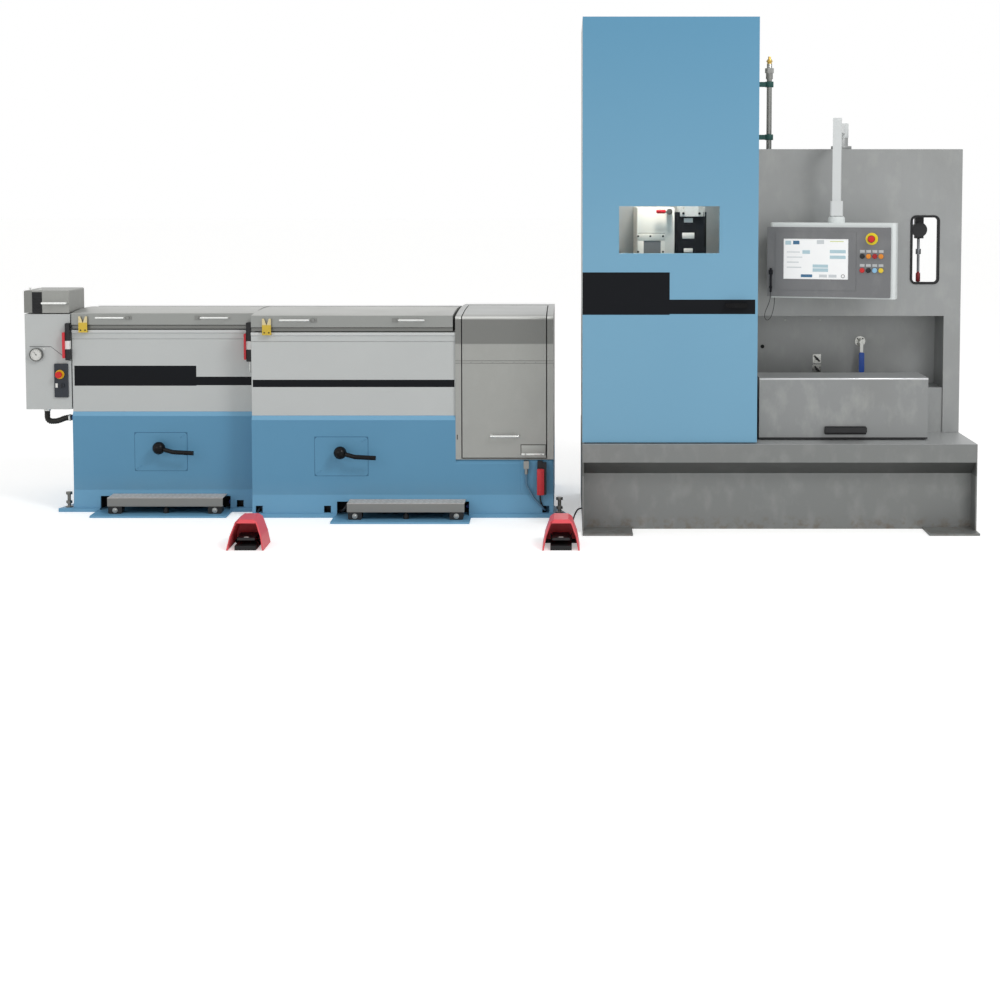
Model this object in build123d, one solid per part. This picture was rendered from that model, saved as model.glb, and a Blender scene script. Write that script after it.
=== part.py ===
"""Wire drawing line: a two-section drawing machine with a capstan end, and an induction annealer.

Millimetres. X runs along the line, Y from the operator's side to the back, Z up from the floor.
The pieces are made with X from the line's left end and Y from the annealer's front face. They are
written with the origin on the floor, at the middle of the whole line.
"""
import os
from math import cos, hypot, radians, sin, sqrt, tan

from build123d import *

os.makedirs("parts", exist_ok=True)

# Clearances
run_gap = 6.0
pin_gap = 0.3
sheet = 4.0

# Drawing machine along the line
cabinet_width = 264.0
cabinet_gap = 6.0
section_1_width = 1066.0
section_gap = 4.0
section_2_width = 1162.0
capstan_width = 558.0

# Drawing machine across the line
section_1_front = 650.0
section_2_front = 465.0
machine_back = 1600.0
lid_hinge_y = 1250.0
roof_front = lid_hinge_y + 20.0

# Drawing machine heights
base_height = 582.0
bevel_height = 26.0
bevel_depth = 14.0
bend_height = 127.0
bend_reach = 12.0
flange_height = 22.0
flange_reach = 28.0
panel_top = 1058.0
panel_thickness = 10.0
lip_height = 20.0
lip_reach = 7.0
groove_height = 1003.0
lid_edge_height = 1155.0
lid_crown = 13.0
lid_band_height = 1087.0
lid_band_depth = 9.0
roof_back_height = 1132.0
compartment_floor = 700.0
compartment_wall = 24.0
compartment_back = 1000.0

# Annealer
machine_gap = 161.0
annealer_width = 2151.0
annealer_depth = 1250.0
base_top = 486.0
fascia_height = 100.0
slope_height = 76.0
toe_depth = 110.0
side_plate = 8.0
foot_length = 203.0
foot_width = 273.0
foot_thickness = 12.0
tower_width = 952.0
tower_top = 2790.0
tower_back = 1000.0
tower_wall = 20.0
door_front = 30.0
door_thickness = 40.0
wall_front = 480.0
wall_thickness = 25.0
wall_top = 2096.0
wall_return = 445.0
post_width = 95.0
recess_top = 1151.0
recess_depth = 250.0
tank_top = 742.0
tank_setback = 10.0

# Places along the line
section_1_x0 = cabinet_width + cabinet_gap
section_1_x1 = section_1_x0 + section_1_width
section_2_x0 = section_1_x1 + section_gap
section_2_x1 = section_2_x0 + section_2_width
capstan_x1 = section_2_x1 + capstan_width
annealer_x0 = capstan_x1 + machine_gap
annealer_x1 = annealer_x0 + annealer_width
tower_x1 = annealer_x0 + tower_width
post_x0 = annealer_x1 - post_width
tank_front = wall_front + tank_setback
recess_back = wall_front + recess_depth

# Foot switches
pedal_length = 230.0
pedal_front = -490.0

line_length = annealer_x1
line_middle_y = (pedal_front + machine_back) / 2


def block(x0, x1, y0, y1, z0, z1):
    """Box between two corners."""
    return Pos((x0 + x1) / 2, (y0 + y1) / 2, (z0 + z1) / 2) * Box(x1 - x0, y1 - y0, z1 - z0)


def rod(start, end, radius):
    """Round bar between two points."""
    reach = Vector(*end) - Vector(*start)
    place = Plane(origin=start, z_dir=reach)
    return place * Cylinder(radius, reach.length, align=(Align.CENTER, Align.CENTER, Align.MIN))


def hexagon(x, y, z0, z1, across):
    """Upright hexagon, such as a nut or a bolt head."""
    outline = Plane.XY.offset(z0) * Pos(x, y) * RegularPolygon(across / 2, 6, major_radius=False)
    return extrude(outline, amount=z1 - z0)


def along_x(outline, x0, x1):
    """A closed outline of (y, z) points or edges, run from x0 to x1."""
    face = make_face(Plane.YZ.offset(x0) * outline)
    return extrude(face, amount=x1 - x0, dir=(1, 0, 0))


def along_y(outline, y0, y1):
    """A closed outline of (x, z) points or edges, run from y0 to y1."""
    face = make_face(Plane.XZ.offset(-y0) * outline)
    return extrude(face, amount=y1 - y0, dir=(0, 1, 0))


def along_z(outline, z0, z1):
    """A closed outline of (x, y) points or edges, run from z0 to z1."""
    face = make_face(Plane.XY.offset(z0) * outline)
    return extrude(face, amount=z1 - z0, dir=(0, 0, 1))


def polygon(*points):
    return Polyline(*points, close=True)


def rounded_plate(x0, x1, z0, z1, y0, y1, radius):
    """Upright plate with rounded corners, its face to the front."""
    place = Plane.XZ.offset(-y0) * Pos((x0 + x1) / 2, (z0 + z1) / 2)
    return extrude(place * RectangleRounded(x1 - x0, z1 - z0, radius), amount=y1 - y0, dir=(0, 1, 0))


def write(name, *pieces):
    """Moves a node's solids to the line's own origin and writes them."""
    solids = [solid for piece in pieces for solid in piece.solids()]
    shape = Compound(solids) if len(solids) > 1 else solids[0]
    export_step(Pos(-line_length / 2, -line_middle_y, 0) * shape, f"parts/{name}.step")


# Hinges that carry a lid at its back edge, with the pin below the lid's top
hinge_pin_radius = 6.0
hinge_eye_radius = 11.0
hinge_eye_length = 70.0
hinge_cheek = 10.0
hinge_drop = 17.0
leaf_length = 24.0


def hinge_eye(x, y, z, leaf_y, leaf_z0, leaf_z1):
    """The moving half: an eye on a leaf that is welded to the lid."""
    half = hinge_eye_length / 2
    leaf = block(x - half, x + half, min(leaf_y, y), max(leaf_y, y), leaf_z0, leaf_z1)
    eye = rod((x - half, y, z), (x + half, y, z), hinge_eye_radius)
    bore = rod((x - half - 1, y, z), (x + half + 1, y, z), hinge_pin_radius + pin_gap)
    return leaf + eye - bore


def standing_cheek(y, z, foot_y0, foot_y1, foot_z):
    """Outline of a cheek that stands on a top beside the pin."""
    shoulder = hinge_eye_radius * 0.7
    return polygon(
        (foot_y0, foot_z),
        (foot_y1, foot_z),
        (foot_y1, z),
        (y + shoulder, z + shoulder),
        (y - shoulder, z + shoulder),
        (y - hinge_eye_radius, z),
    )


def wall_cheek(y, z, wall_y):
    """Outline of a cheek that is welded to a wall behind the pin and stays under the sheet."""
    top = z + hinge_pin_radius + 1
    front = y - hinge_pin_radius - 3
    return polygon((wall_y, z - 18), (front, z - 10), (front, top), (wall_y, top))


def hinge_fork(x, y, z, cheek):
    """The fixed half: a pin between two cheeks."""
    half = hinge_eye_length / 2 + pin_gap
    fork = rod((x - half - hinge_cheek, y, z), (x + half + hinge_cheek, y, z), hinge_pin_radius)
    for side in (x - half - hinge_cheek, x + half):
        fork += along_x(cheek, side, side + hinge_cheek)
    return fork


# Blue bases of the two sections
niche_height = 90.0
niche_depth = 80.0
niche_floor = 12.0
niche_inset = 156.0
niche_length = 755.0
niche_2_inset = 483.0
tray_overhang = 12.0
tray_reach = 216.0
port_size = 40.0
port_depth = 60.0
port_sill = 26.0
skirt_depth = 110.0
foot_flange_reach = 85.0
foot_flange_back = 260.0


def body_outline(front, top):
    """The base above and behind its skirt: a flat face with a bevel along the top."""
    return polygon(
        (front, bend_height),
        (front, top - bevel_height),
        (front + bevel_depth, top),
        (machine_back, top),
        (machine_back, 0),
        (front + skirt_depth, 0),
        (front + skirt_depth, bend_height),
    )


def skirt_outline(front):
    """The leaning skirt below the face, with a flange on the floor."""
    return polygon(
        (front - flange_reach, 0),
        (front - flange_reach, flange_height),
        (front - bend_reach, flange_height),
        (front, bend_height),
        (front + skirt_depth, bend_height),
        (front + skirt_depth, 0),
    )


def port(x, front):
    """A square hole in the skirt."""
    return block(x, x + port_size, front - flange_reach, front + port_depth, port_sill, port_sill + port_size)


def niche_and_tray(skirt, niche_x0, front):
    """Cuts the toe niche behind a step and adds the tray that the step stands on."""
    niche_x1 = niche_x0 + niche_length
    niche_y = (front - flange_reach - 1, front + niche_depth)
    skirt -= block(niche_x0, niche_x1, *niche_y, niche_floor, niche_height)
    tray_x = (niche_x0 - tray_overhang, niche_x1 + tray_overhang)
    return skirt + block(*tray_x, front - tray_reach, front, 0, niche_floor)


def foot_flange(x, side, front):
    """A corner of the floor flange that reaches out past an end, side -1 or 1."""
    outline = polygon(
        (x, front - flange_reach),
        (x + side * foot_flange_reach, front - flange_reach),
        (x, front + foot_flange_back),
    )
    return along_z(outline, 0, flange_height)


niche_1_x0 = section_1_x0 + niche_inset
niche_2_x0 = section_2_x0 + niche_2_inset
port_1_x = niche_1_x0 + niche_length + 36.0
port_2_x = niche_2_x0 - 54.0 - port_size / 2
cord_port_x = section_2_x0 + 19.0
hose_port_x = capstan_x1 - 64.0
sill_height = 332.0

body_1 = along_x(body_outline(section_1_front, base_height), section_1_x0, section_1_x1)
body_1 += foot_flange(section_1_x0, -1, section_1_front)
skirt_1 = along_x(skirt_outline(section_1_front), section_1_x0, section_1_x1)
skirt_1 = niche_and_tray(skirt_1, niche_1_x0, section_1_front)
skirt_1 -= port(port_1_x, section_1_front)
write("section_1_base", body_1, skirt_1)

# Section 2's base runs on under the capstan end, lower there
body_2 = along_x(body_outline(section_2_front, base_height), section_2_x0, section_2_x1)
body_2 += along_x(body_outline(section_2_front, sill_height), section_2_x1, capstan_x1)
body_2 += foot_flange(capstan_x1, 1, section_2_front)
skirt_2 = along_x(skirt_outline(section_2_front), section_2_x0, capstan_x1)
skirt_2 = niche_and_tray(skirt_2, niche_2_x0, section_2_front)
for port_x in (port_2_x, cord_port_x, hose_port_x):
    skirt_2 -= port(port_x, section_2_front)
write("section_2_base", body_2, skirt_2)


# Grey front panels and the housings behind them
def panel_outline(front):
    """Front panel in section: a flat sheet with a lip along its top edge."""
    face = front + bevel_depth
    return polygon(
        (face, base_height),
        (face, groove_height),
        (face + 2, groove_height + 2),
        (face, groove_height + 4),
        (face, panel_top - lip_height),
        (face - lip_reach, panel_top - lip_height + 4),
        (face - lip_reach, panel_top),
        (face + panel_thickness, panel_top),
        (face + panel_thickness, base_height),
    )


def housing(x0, x1, front, wall_x0, wall_x1):
    """Housing with the drawing compartment open at the top and the gearbox roof behind it."""
    inside = front + bevel_depth + panel_thickness
    body = block(x0, x1, inside, machine_back, base_height, panel_top)
    roof = polygon(
        (roof_front, panel_top),
        (roof_front, lid_edge_height + 2),
        (machine_back, roof_back_height),
        (machine_back, panel_top),
    )
    body += along_x(roof, x0, x1)
    cavity_y0 = inside + compartment_wall
    body -= block(x0 + wall_x0, x1 - wall_x1, cavity_y0, compartment_back, compartment_floor, panel_top + 1)
    return body


write("section_1_panel", along_x(panel_outline(section_1_front), section_1_x0, section_1_x1))
write("section_2_panel", along_x(panel_outline(section_2_front), section_2_x0, section_2_x1))

# Lids over the drawing compartments
lid_bottom = panel_top + run_gap
lid_back = lid_hinge_y - 2 - run_gap
lid_hinge_z = lid_edge_height - hinge_drop
lid_seam = 3.0
lid_1_x = (section_1_x0 + lid_seam, section_1_x1 - lid_seam)
lid_2_x = (section_2_x0 + lid_seam, section_2_x1 - 14.0)
lid_hinge_inset = 180.0
lid_flange = 30.0


def crown(front, back, z0, z1, rise, drop=0.0):
    """Gently arched line over the top of a lid, from its front edge to its back edge."""
    middle = ((front + back) / 2, (z0 + z1) / 2 + rise - drop)
    return ThreePointArc((front, z0 - drop), middle, (back, z1 - drop))


def lid_outline(front, inset):
    """Lid in section; the inset gives the inner face of the sheet."""
    y0 = front + inset
    top = crown(y0, lid_back, lid_edge_height, lid_edge_height, lid_crown, inset)
    sides = Polyline(
        (y0, lid_edge_height - inset),
        (y0, lid_band_height),
        (y0 + lid_band_depth, lid_band_height - 4),
        (y0 + lid_band_depth, lid_bottom - inset),
        (lid_back, lid_bottom - inset),
        (lid_back, lid_edge_height - inset),
    )
    return top + sides


def lid(x0, x1, front):
    """Sheet lid: a crowned top, a front and two ends, open below and behind."""
    outer = along_x(lid_outline(front, 0), x0, x1)
    inner = along_x(lid_outline(front, sheet), x0 + sheet, x1 - sheet)
    return outer - inner


def hinge_places(x0, x1):
    return (x0 + lid_hinge_inset, x1 - lid_hinge_inset)


sections = (
    ("section_1", section_1_x0, section_1_x1, section_1_front, lid_1_x),
    ("section_2", section_2_x0, section_2_x1, section_2_front, lid_2_x),
)
for name, x0, x1, front, lid_x in sections:
    body = housing(x0, x1, front, compartment_wall, compartment_wall)
    cover = lid(*lid_x, front)
    cheek = wall_cheek(lid_hinge_y, lid_hinge_z, roof_front + 1)
    for x in hinge_places(*lid_x):
        body += hinge_fork(x, lid_hinge_y, lid_hinge_z, cheek)
        leaf_y = lid_back - leaf_length
        cover += hinge_eye(x, lid_hinge_y, lid_hinge_z, leaf_y, lid_edge_height - 11, lid_edge_height - 1.5)
    write(f"{name}_housing", body)
    write(f"{name}_lid", cover)

# Tube handles and latches on the lid fronts
grip_radius = 5.5
grip_standoff = 34.0
latch_width = 34.0
lid_handle_z = 1130.0


def bow_handle(x0, x1, y, z, standoff, radius):
    """Handle of round bar: a grip along X on two legs, mitred and welded."""
    path = Polyline((x0, y, z), (x0, y - standoff, z), (x1, y - standoff, z), (x1, y, z))
    start = Plane(origin=(x0, y, z), z_dir=(0, -1, 0))
    return sweep(start * Circle(radius), path=path, transition=Transition.RIGHT)


def lid_latch(x, y, z):
    """Small over-centre latch: a keeper plate with a turned knob."""
    plate = block(x - latch_width / 2, x + latch_width / 2, y - 5, y, z - 12, z + 12)
    return plate + rod((x, y - 5, z), (x, y - 18, z), 7)


# For each handle, how far its outer and its inner leg stand from the section's end
handle_legs = {
    "section_1": ((155.0, 308.0), (157.0, 307.0)),
    "section_2": ((174.0, 333.0), (176.0, 315.0)),
}
latch_gap = 26.0
for name, x0, x1, front, _ in sections:
    (left_outer, left_inner), (right_outer, right_inner) = handle_legs[name]
    handle_z = (lid_handle_z, grip_standoff, grip_radius)
    left = bow_handle(x0 + left_outer, x0 + left_inner, front, *handle_z)
    right = bow_handle(x1 - right_inner, x1 - right_outer, front, *handle_z)
    left_latch = lid_latch(x0 + left_inner + latch_gap, front, lid_handle_z - 2)
    right_latch = lid_latch(x1 - right_inner - latch_gap, front, lid_handle_z - 2)
    write(f"{name}_lid_handles", left, right, left_latch, right_latch)

# Brass V brackets on the panels' top edges
bracket_width = 51.0
bracket_height = 94.0
bracket_notch = 38.0
bracket_offset = 24.0
bracket_plate = 4.0
bracket_foot = 12.0


def v_bracket(x, front):
    """Brass plate with a V notch that guides the wire past the lid."""
    face = front + bevel_depth - lip_reach
    half = bracket_width / 2
    bottom = panel_top - lip_height + 6
    top = bottom + bracket_height
    outline = polygon(
        (x - half, bottom),
        (x + half, bottom),
        (x + half, top),
        (x + half * 0.55, top),
        (x, top - bracket_notch),
        (x - half * 0.55, top),
        (x - half, top),
    )
    foot = block(x - half, x + half, face - bracket_offset, face, bottom, bottom + bracket_foot)
    return along_y(outline, face - bracket_offset, face - bracket_offset + bracket_plate) + foot


bracket_1_x = section_1_x0 + 73.0
bracket_2_x = section_2_x0 + 94.0
write("brass_brackets", v_bracket(bracket_1_x, section_1_front), v_bracket(bracket_2_x, section_2_front))

# Interlock switches with their red grips
switch_depth = 32.0


def switch(x0, x1, y1, z0, z1):
    """Slim black safety switch with rounded corners."""
    return rounded_plate(x0, x1, z0, z1, y1 - switch_depth, y1, 5)


def switch_grip(x0, x1, y1, z0, z1):
    """Red release grip beside or over the switch."""
    return rounded_plate(x0, x1, z0, z1, y1 - switch_depth - 10, y1, 4)


switch_1_x = section_1_x0 - 36.0
switch_2_x = section_1_x1 - 59.0
switch_3_x = capstan_x1 - 92.0
cabinet_front = section_1_front + 10.0
panel_face_1 = section_1_front + bevel_depth
switch_2_y = section_1_front - 12.0
switch_2_foot = block(switch_2_x + 14, switch_2_x + 38, switch_2_y, panel_face_1, 900, 1030)
write(
    "interlock_switches",
    switch(switch_1_x + 6, switch_1_x + 32, cabinet_front, 884, 1098),
    switch(switch_2_x + 12, switch_2_x + 40, switch_2_y, 878, 1104) + switch_2_foot,
    switch(switch_3_x, switch_3_x + 30, section_2_front, bend_height + 4, 326),
)
write(
    "interlock_grips",
    switch_grip(switch_1_x - 8, switch_1_x + 6, cabinet_front, 896, 1046),
    switch_grip(switch_2_x, switch_2_x + 12, switch_2_y, 890, 1040),
    switch_grip(switch_3_x + 30, switch_3_x + 52, section_2_front, bend_height + 8, 320),
)

# Capstan end: a frame of two arched ends and a cover that lifts over the front and the top
frame_end_left = 33.0
frame_end_right = 36.0
capstan_edge = 1147.0
capstan_crown = 16.0
capstan_radius = 14.0
cover_x0 = section_2_x1 + frame_end_left + run_gap
cover_x1 = capstan_x1 - frame_end_right - run_gap
cover_bottom = sill_height + 10.0
cover_thickness = 4.0
cover_hinge_z = capstan_edge - 3.0
cover_hinge_inset = 90.0
lap_z = (884.0, 896.0)
lap_thickness = 1.5
cover_handle_z = 470.0
cover_handle_standoff = 40.0
cover_handle_radius = 6.5


def capstan_outline(inset, back, bottom):
    """Rounded front edge and crowned top of the capstan end, in section."""
    y0 = section_2_front + inset
    z1 = capstan_edge - inset
    radius = capstan_radius
    corner = ThreePointArc((y0, z1 - radius), (y0 + radius * 0.293, z1 - radius * 0.293), (y0 + radius, z1))
    top = ThreePointArc((y0 + radius, z1), ((y0 + back) / 2, z1 + capstan_crown), (back, z1))
    rest = Polyline((back, z1), (back, bottom), (y0, bottom), (y0, z1 - radius))
    return corner + top + rest


frame = along_x(capstan_outline(0, machine_back, sill_height), section_2_x1, capstan_x1)
frame_inside_x0 = section_2_x1 + frame_end_left
frame_inside_x1 = capstan_x1 - frame_end_right
frame -= block(frame_inside_x0, frame_inside_x1, section_2_front - 1, roof_front, sill_height + 4, 1300)
cover = along_x(capstan_outline(0, machine_back, cover_bottom), cover_x0, cover_x1)
cover -= along_x(capstan_outline(cover_thickness, machine_back, cover_bottom - 9), cover_x0 + 3, cover_x1 - 3)
cover -= along_x(capstan_outline(lid_flange, machine_back, cover_bottom - 9), cover_x0 - 1, cover_x1 + 1)
cover -= block(cover_x0 - 1, cover_x1 + 1, lid_back, machine_back + 1, cover_bottom - 10, capstan_edge + 99)
cover_cheek = wall_cheek(lid_hinge_y, cover_hinge_z, roof_front + 1)
cover_leaf = (lid_back - leaf_length, capstan_edge + 3, capstan_edge + 12)
for x in (cover_x0 + cover_hinge_inset, cover_x1 - cover_hinge_inset):
    frame += hinge_fork(x, lid_hinge_y, cover_hinge_z, cover_cheek)
    cover += hinge_eye(x, lid_hinge_y, cover_hinge_z, *cover_leaf)
write("capstan_frame", frame)
lap = block(cover_x0, cover_x1, section_2_front - lap_thickness, section_2_front, *lap_z)
cover_handle_x = (section_2_x1 + 205, section_2_x1 + 356)
cover_handle_bar = (cover_handle_z, cover_handle_standoff, cover_handle_radius)
cover_handle = bow_handle(*cover_handle_x, section_2_front, *cover_handle_bar)
write("capstan_cover", cover + lap + cover_handle)

# Inlet end
cabinet_bottom = 595.0
cabinet_top = 1150.0
cabinet_depth = 400.0
hood_depth = 330.0
hood_top = 1286.0
hood_width = cabinet_width - 4.0
hood_hinge_z = cabinet_top + 22.0
cabinet_back = cabinet_front + cabinet_depth
cabinet = block(0, cabinet_width, cabinet_front, cabinet_back, cabinet_bottom, cabinet_top)
spacer_y = (cabinet_front + 40, cabinet_back - 40)
cabinet += block(cabinet_width, section_1_x0, *spacer_y, cabinet_bottom + 60, panel_top - 40)
hood_y0 = cabinet_front - 5.0
hood_y1 = hood_y0 + hood_depth
hood_bottom = cabinet_top + run_gap
hood = block(0, hood_width, hood_y0, hood_y1, hood_bottom, hood_top)
hood = fillet(hood.edges().filter_by(Axis.Y).group_by(Axis.Z)[-1], 8)
hood -= block(sheet, hood_width - sheet, hood_y0 + sheet, hood_y1 - sheet, hood_bottom - 1, hood_top - sheet)
hood_hinge_y = hood_y1 + 18
x = hood_width / 2
hood_cheek = standing_cheek(hood_hinge_y, hood_hinge_z, hood_hinge_y - 8, hood_hinge_y + 26, cabinet_top)
cabinet += hinge_fork(x, hood_hinge_y, hood_hinge_z, hood_cheek)
hood += hinge_eye(x, hood_hinge_y, hood_hinge_z, hood_y1 - 0.5, hood_hinge_z - 5, hood_hinge_z + 5)
write("inlet_cabinet", cabinet)
write("inlet_hood", hood)
hood_handle = bow_handle(hood_width - 144, hood_width - 14, hood_y0, 1214, 32, 7)
hood_strip = block(48, 104, hood_y0 - 3, hood_y0, hood_bottom, hood_top - 9)
write("inlet_hood_fittings", hood_handle, hood_strip)
gauge_x = 67.0
gauge_z = 915.0
gauge = rod((gauge_x, cabinet_front, gauge_z), (gauge_x, cabinet_front - 22, gauge_z), 38)
gauge -= rod((gauge_x, cabinet_front - 18, gauge_z), (gauge_x, cabinet_front - 23, gauge_z), 33)

control_x = (cabinet_width - 96, cabinet_width - 16)
control_z = (666.0, 862.0)
control_front = cabinet_front - 10
control = rounded_plate(*control_x, *control_z, control_front, cabinet_front, 4)


def stop_button(x, y, z, plate_radius, neck_radius, head_radius):
    """Emergency stop: a round plate, a neck and a mushroom head, out to the front."""
    button = rod((x, y, z), (x, y - 5, z), plate_radius)
    button += rod((x, y - 5, z), (x, y - 22, z), neck_radius)
    return button + rod((x, y - 22, z), (x, y - 35, z), head_radius)


control += stop_button(cabinet_width - 63, control_front, 800, 26, 12, 19)
key_x = cabinet_width - 50
control += rod((key_x, control_front, 736), (key_x, control_front - 12, 736), 13)
write("inlet_controls", gauge, control)

hose_radius = 16.0
clamp_radius = hose_radius + 6
clamp_length = 24.0
hose_y = cabinet_front + 60
hose_drop_x = 104.0
hose_z = 540.0
hose_socket = 30.0
hose_path = FilletPolyline(
    (hose_drop_x, hose_y, cabinet_bottom),
    (hose_drop_x, hose_y, hose_z - 22),
    (hose_drop_x + 60, hose_y, hose_z - 22),
    (section_1_x0 - hose_socket - 30, hose_y, hose_z),
    (section_1_x0 - hose_socket, hose_y, hose_z),
    radius=26,
)
hose_start = (hose_drop_x, hose_y, cabinet_bottom)
socket_start = (section_1_x0 - hose_socket, hose_y, hose_z)
hose = sweep(Plane(origin=hose_start, z_dir=(0, 0, -1)) * Circle(hose_radius), path=hose_path)
hose += rod(hose_start, (hose_drop_x, hose_y, cabinet_bottom - clamp_length), clamp_radius)
hose += rod(socket_start, (section_1_x0, hose_y, hose_z), clamp_radius)
write("inlet_hose", hose)

# Access panels with their ball hubs and bent levers
access_thickness = 3.0
ball_radius = 37.0
ball_standoff = 34.0
spindle_radius = 9.0
lever_radius = 13.0
access_x = (359.0, 661.0)
access_z = (239.0, 460.0)
ball_x = (access_x[0] + access_x[1]) / 2
ball_z = 378.0


def access_panel(x0, front):
    """Blue cover plate with the boss that the lever turns on."""
    plate = rounded_plate(x0 + access_x[0], x0 + access_x[1], *access_z, front - access_thickness, front, 18)
    x = x0 + ball_x
    return plate + rod((x, front, ball_z), (x, front - ball_standoff - 4, ball_z), spindle_radius)


def section_lever(x0, front):
    """Black ball hub on the spindle, with a lever that bends down and out to a round grip."""
    x = x0 + ball_x
    z = ball_z
    y = front - ball_standoff - ball_radius * 0.6
    hub_back = front - ball_standoff + 8
    mouth = sqrt(ball_radius**2 - (hub_back - y) ** 2)
    arc = ThreePointArc((y - ball_radius, z), (y, z + ball_radius), (hub_back, z + mouth))
    profile = arc + Polyline((hub_back, z + mouth), (hub_back, z), (y - ball_radius, z))
    hub = revolve(make_face(Plane.YZ.offset(x) * profile), Axis((x, y, z), (0, 1, 0)))
    path = FilletPolyline((x, y, z), (x + 84, y - 24, z - 20), (x + 205, y - 26, z - 26), radius=90)
    start = Plane(origin=(x, y, z), z_dir=(84, -24, -20))
    lever = sweep(start * Circle(lever_radius), path=path)
    bore = rod((x, front, z), (x, front - ball_standoff - 5, z), spindle_radius + pin_gap)
    return hub + lever - bore


write("access_panels", *[access_panel(x0, front) for _, x0, _, front, _ in sections])
for name, x0, _, front, _ in sections:
    write(f"{name}_lever", section_lever(x0, front))

# Tread-plate steps on rubber mounts
step_inset = 74.0
step_length = niche_length - 93.0
step_top = 104.0
step_depth = 150.0
step_skirt = 50.0
step_thickness = 5.0
mount_width = 78.0
mount_depth = 70.0
mount_inset = 6.0
mount_waist = 14.0


def step(x0, front):
    """Tread folded from plate, its front skirt turned down."""
    y0 = front - step_depth
    under = step_top - step_thickness
    outline = polygon(
        (y0, step_top - step_skirt),
        (y0, step_top),
        (front - 5, step_top),
        (front - 5, under),
        (y0 + step_thickness, under),
        (y0 + step_thickness, step_top - step_skirt),
    )
    return along_x(outline, x0, x0 + step_length)


def step_mount(x0, front):
    """Black rubber mount between a steel foot and the tread, with a bolt in its face."""
    y0 = front - step_depth - 3
    skirt_z = step_top - step_skirt
    lower = rounded_plate(x0, x0 + mount_width, niche_floor, skirt_z, y0, y0 + mount_depth, 10)
    waist_x = (x0 + mount_waist, x0 + mount_width - mount_waist)
    waist_y = (y0 + step_thickness + 4, y0 + mount_depth - 4)
    upper = block(*waist_x, *waist_y, skirt_z, step_top - step_thickness)
    bolt_x = x0 + mount_width / 2
    bolt_z = (niche_floor + skirt_z) / 2
    return lower + upper + rod((bolt_x, y0, bolt_z), (bolt_x, y0 - 7, bolt_z), 9)


step_solids = []
mount_solids = []
for niche_x0, front in ((niche_1_x0, section_1_front), (niche_2_x0, section_2_front)):
    x0 = niche_x0 + step_inset
    step_solids.append(step(x0, front))
    mount_solids.append(step_mount(x0 + mount_inset, front))
    mount_solids.append(step_mount(x0 + step_length - mount_inset - mount_width, front))
    middle = x0 + step_length / 2
    y = front - step_depth + 30
    bolt = rod((middle, y, niche_floor), (middle, y, step_top - step_thickness), 8)
    mount_solids.append(bolt + hexagon(middle, y, niche_floor, niche_floor + 26, 28))
write("steps", *step_solids)
write("step_mounts", *mount_solids)

# Levelling bolts on the ends' floor flanges
bolt_radius = 10.0
bolt_top = 112.0


def levelling_bolt(x, y):
    """Threaded bolt with a lock nut low down and a hexagon head at the top."""
    bolt = rod((x, y, flange_height), (x, y, bolt_top), bolt_radius)
    bolt += hexagon(x, y, flange_height, flange_height + 6, 38)
    bolt += hexagon(x, y, flange_height + 22, flange_height + 38, 32)
    return bolt + hexagon(x, y, bolt_top - 16, bolt_top, 34)


left_bolt = levelling_bolt(section_1_x0 - 34, section_1_front + 20)
right_bolt = levelling_bolt(capstan_x1 + 34, section_2_front + 20)
write("levelling_bolts", left_bolt, right_bolt)

# Spray hose under the capstan cover
spray_x = capstan_x1 - 155.0
spray_y = section_2_front - 18.0
spray_top = sill_height - 6.0
spray_radius = 6.0
connector_z = spray_top - 44.0
spray_z = spray_top - 76.0
connector_x = (spray_x - 15, spray_x + 15)
connector = rounded_plate(*connector_x, connector_z, spray_top, section_2_front - 30, section_2_front, 5)
connector += rod((spray_x, spray_y, connector_z), (spray_x, spray_y, spray_z), 10)
spray_path = FilletPolyline(
    (spray_x, spray_y, spray_z),
    (spray_x, spray_y, 190),
    (spray_x + 44, spray_y, 110),
    (spray_x + 96, spray_y - 4, 56),
    (hose_port_x + 16, section_2_front + 6, port_sill + 14),
    radius=50,
)
spray_start = Plane(origin=(spray_x, spray_y, spray_z), z_dir=(0, 0, -1))
write("spray_hose", connector, sweep(spray_start * Circle(spray_radius), path=spray_path))

# Foot switches: red hood over a black base with a sprung pedal
pedal_hood_width = 196.0
pedal_hood_top_width = 116.0
pedal_hood_height = 156.0
pedal_hood_wall = 7.0
pedal_base_height = 24.0
pedal_width = 92.0
pedal_reach = 132.0
pedal_pin_y = pedal_front + 168.0
pedal_pin_z = 46.0
pedal_pin_radius = 6.0
pedal_places = (section_2_x0 + 125.0, capstan_x1 + 46.0)


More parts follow.
